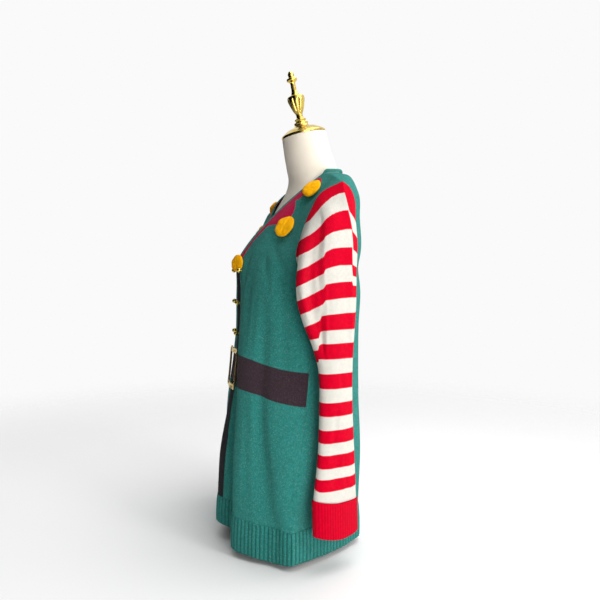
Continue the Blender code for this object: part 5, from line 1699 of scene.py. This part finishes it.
def tent():
    """The white tent: a white world, dimmed smoothly to black where its direction's dot product with
    the wearer's own view, -Y, runs over the black cloth's edge."""
    world = bpy.data.worlds.new("white tent")
    bpy.context.scene.world = world
    world.use_nodes = True
    tree = world.node_tree
    towards = add(tree, "TexCoord").outputs["Generated"]
    ahead = add(tree, "VectorMath", [towards, (0.0, -1.0, 0.0)], operation="DOT_PRODUCT").outputs["Value"]
    sources = [ahead, *BLACK_CLOTH_EDGE, TENT_STRENGTH, 0.0]
    strength = add(tree, "MapRange", sources, interpolation_type="SMOOTHSTEP")
    fill(tree, tree.nodes["Background"], {"Color": "studio_white", "Strength": strength})


floor()
tent()
for row in SOFT_BOXES:
    soft_box(*row)
bpy.context.scene.view_settings.view_transform = "Standard"
print("soft boxes:", [row[0] for row in SOFT_BOXES])

# %% [markdown]
# ## The camera
# The camera stands to the wearer's left and a little to the front, level with the waist, on a lens
# of about 34 mm.

# %% The camera
AIM, AZIMUTH, DISTANCE = Vector((0.0, 0.046, 0.607)), math.radians(70.0), 1.42
LENS, SENSOR, PICTURE_WIDTH, SHIFT_DOWN = 34.08, 36.0, 600, 20  # millimetres, then pixels


def camera():
    """A level camera at that azimuth and distance from the aim, its picture shifted down."""
    data = bpy.data.cameras.new("camera")
    data.lens, data.sensor_width, data.shift_y = LENS, SENSOR, -SHIFT_DOWN / PICTURE_WIDTH
    made = placed("camera", data)
    made.location = AIM + DISTANCE * Vector((math.sin(AZIMUTH), -math.cos(AZIMUTH), 0.0))
    made.rotation_euler = (math.pi / 2, 0.0, AZIMUTH)
    bpy.context.scene.camera = made


camera()
print("camera at", [round(value, 3) for value in bpy.context.scene.camera.location])

# %% [markdown]
# ## Handing the pieces over
# Each piece stands for its solid, which is hidden, and stays with the one body; its slot is listed
# beside it. `cut` works out a cloth sheet's flat width, length and area.

# %% Pieces, slots and cuts
GREEN, RED, FELT = "green_knit", "red_knit", "pompom_felt"
GOLD, CREAM, STEEL = "gold", "cream_jersey", "steel"
LEAST_SIDE, LEAST_FILL = 0.012, 1.02  # a cut is no narrower, and its rectangle no tighter

pieces = {"front": (front_cloth, GREEN), "back": (back_cloth, GREEN), "neck_band": (neck_cloth, GREEN)}
pieces |= {f"sleeve_{word}": (made, RED) for word, made in sleeve_cloths.items()}
pieces |= {node: (made, GREEN if node.startswith("hem") else RED) for node, made in band_cloths.items()}
pieces |= {node: (made, FELT) for node, made in pompoms.items()}
pieces |= {node: (made, GOLD) for node, made in bells.items()}
pieces |= {"buckle": (buckle_brass, GOLD), "neck_cap_finial": (finial_brass, GOLD)}
pieces |= {"form_torso": (form_jersey, CREAM)}
pieces |= {"stand_foot": (foot_steel, STEEL), "stand_pole": (pole_steel, STEEL)}
for node, (made, slot) in pieces.items():
    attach(made, "root")
    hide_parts(node)


def cut(sheet):
    """A sheet's flat width, length and area from its own points: the spans of its UV map, which is
    in metres, and the sum of its faces, each half the cross product of its diagonals."""
    corners = sheet.points[sheet.quads]
    across, along = corners[:, 2] - corners[:, 0], corners[:, 3] - corners[:, 1]
    area = np.linalg.norm(np.cross(across, along), axis=1).sum() / 2
    width, length = np.ptp(sheet.uvs.reshape(-1, 2), axis=0)
    length = max(length, LEAST_FILL * area / width, LEAST_SIDE)
    return round(float(width), 4), round(float(length), 4), round(float(area), 5)
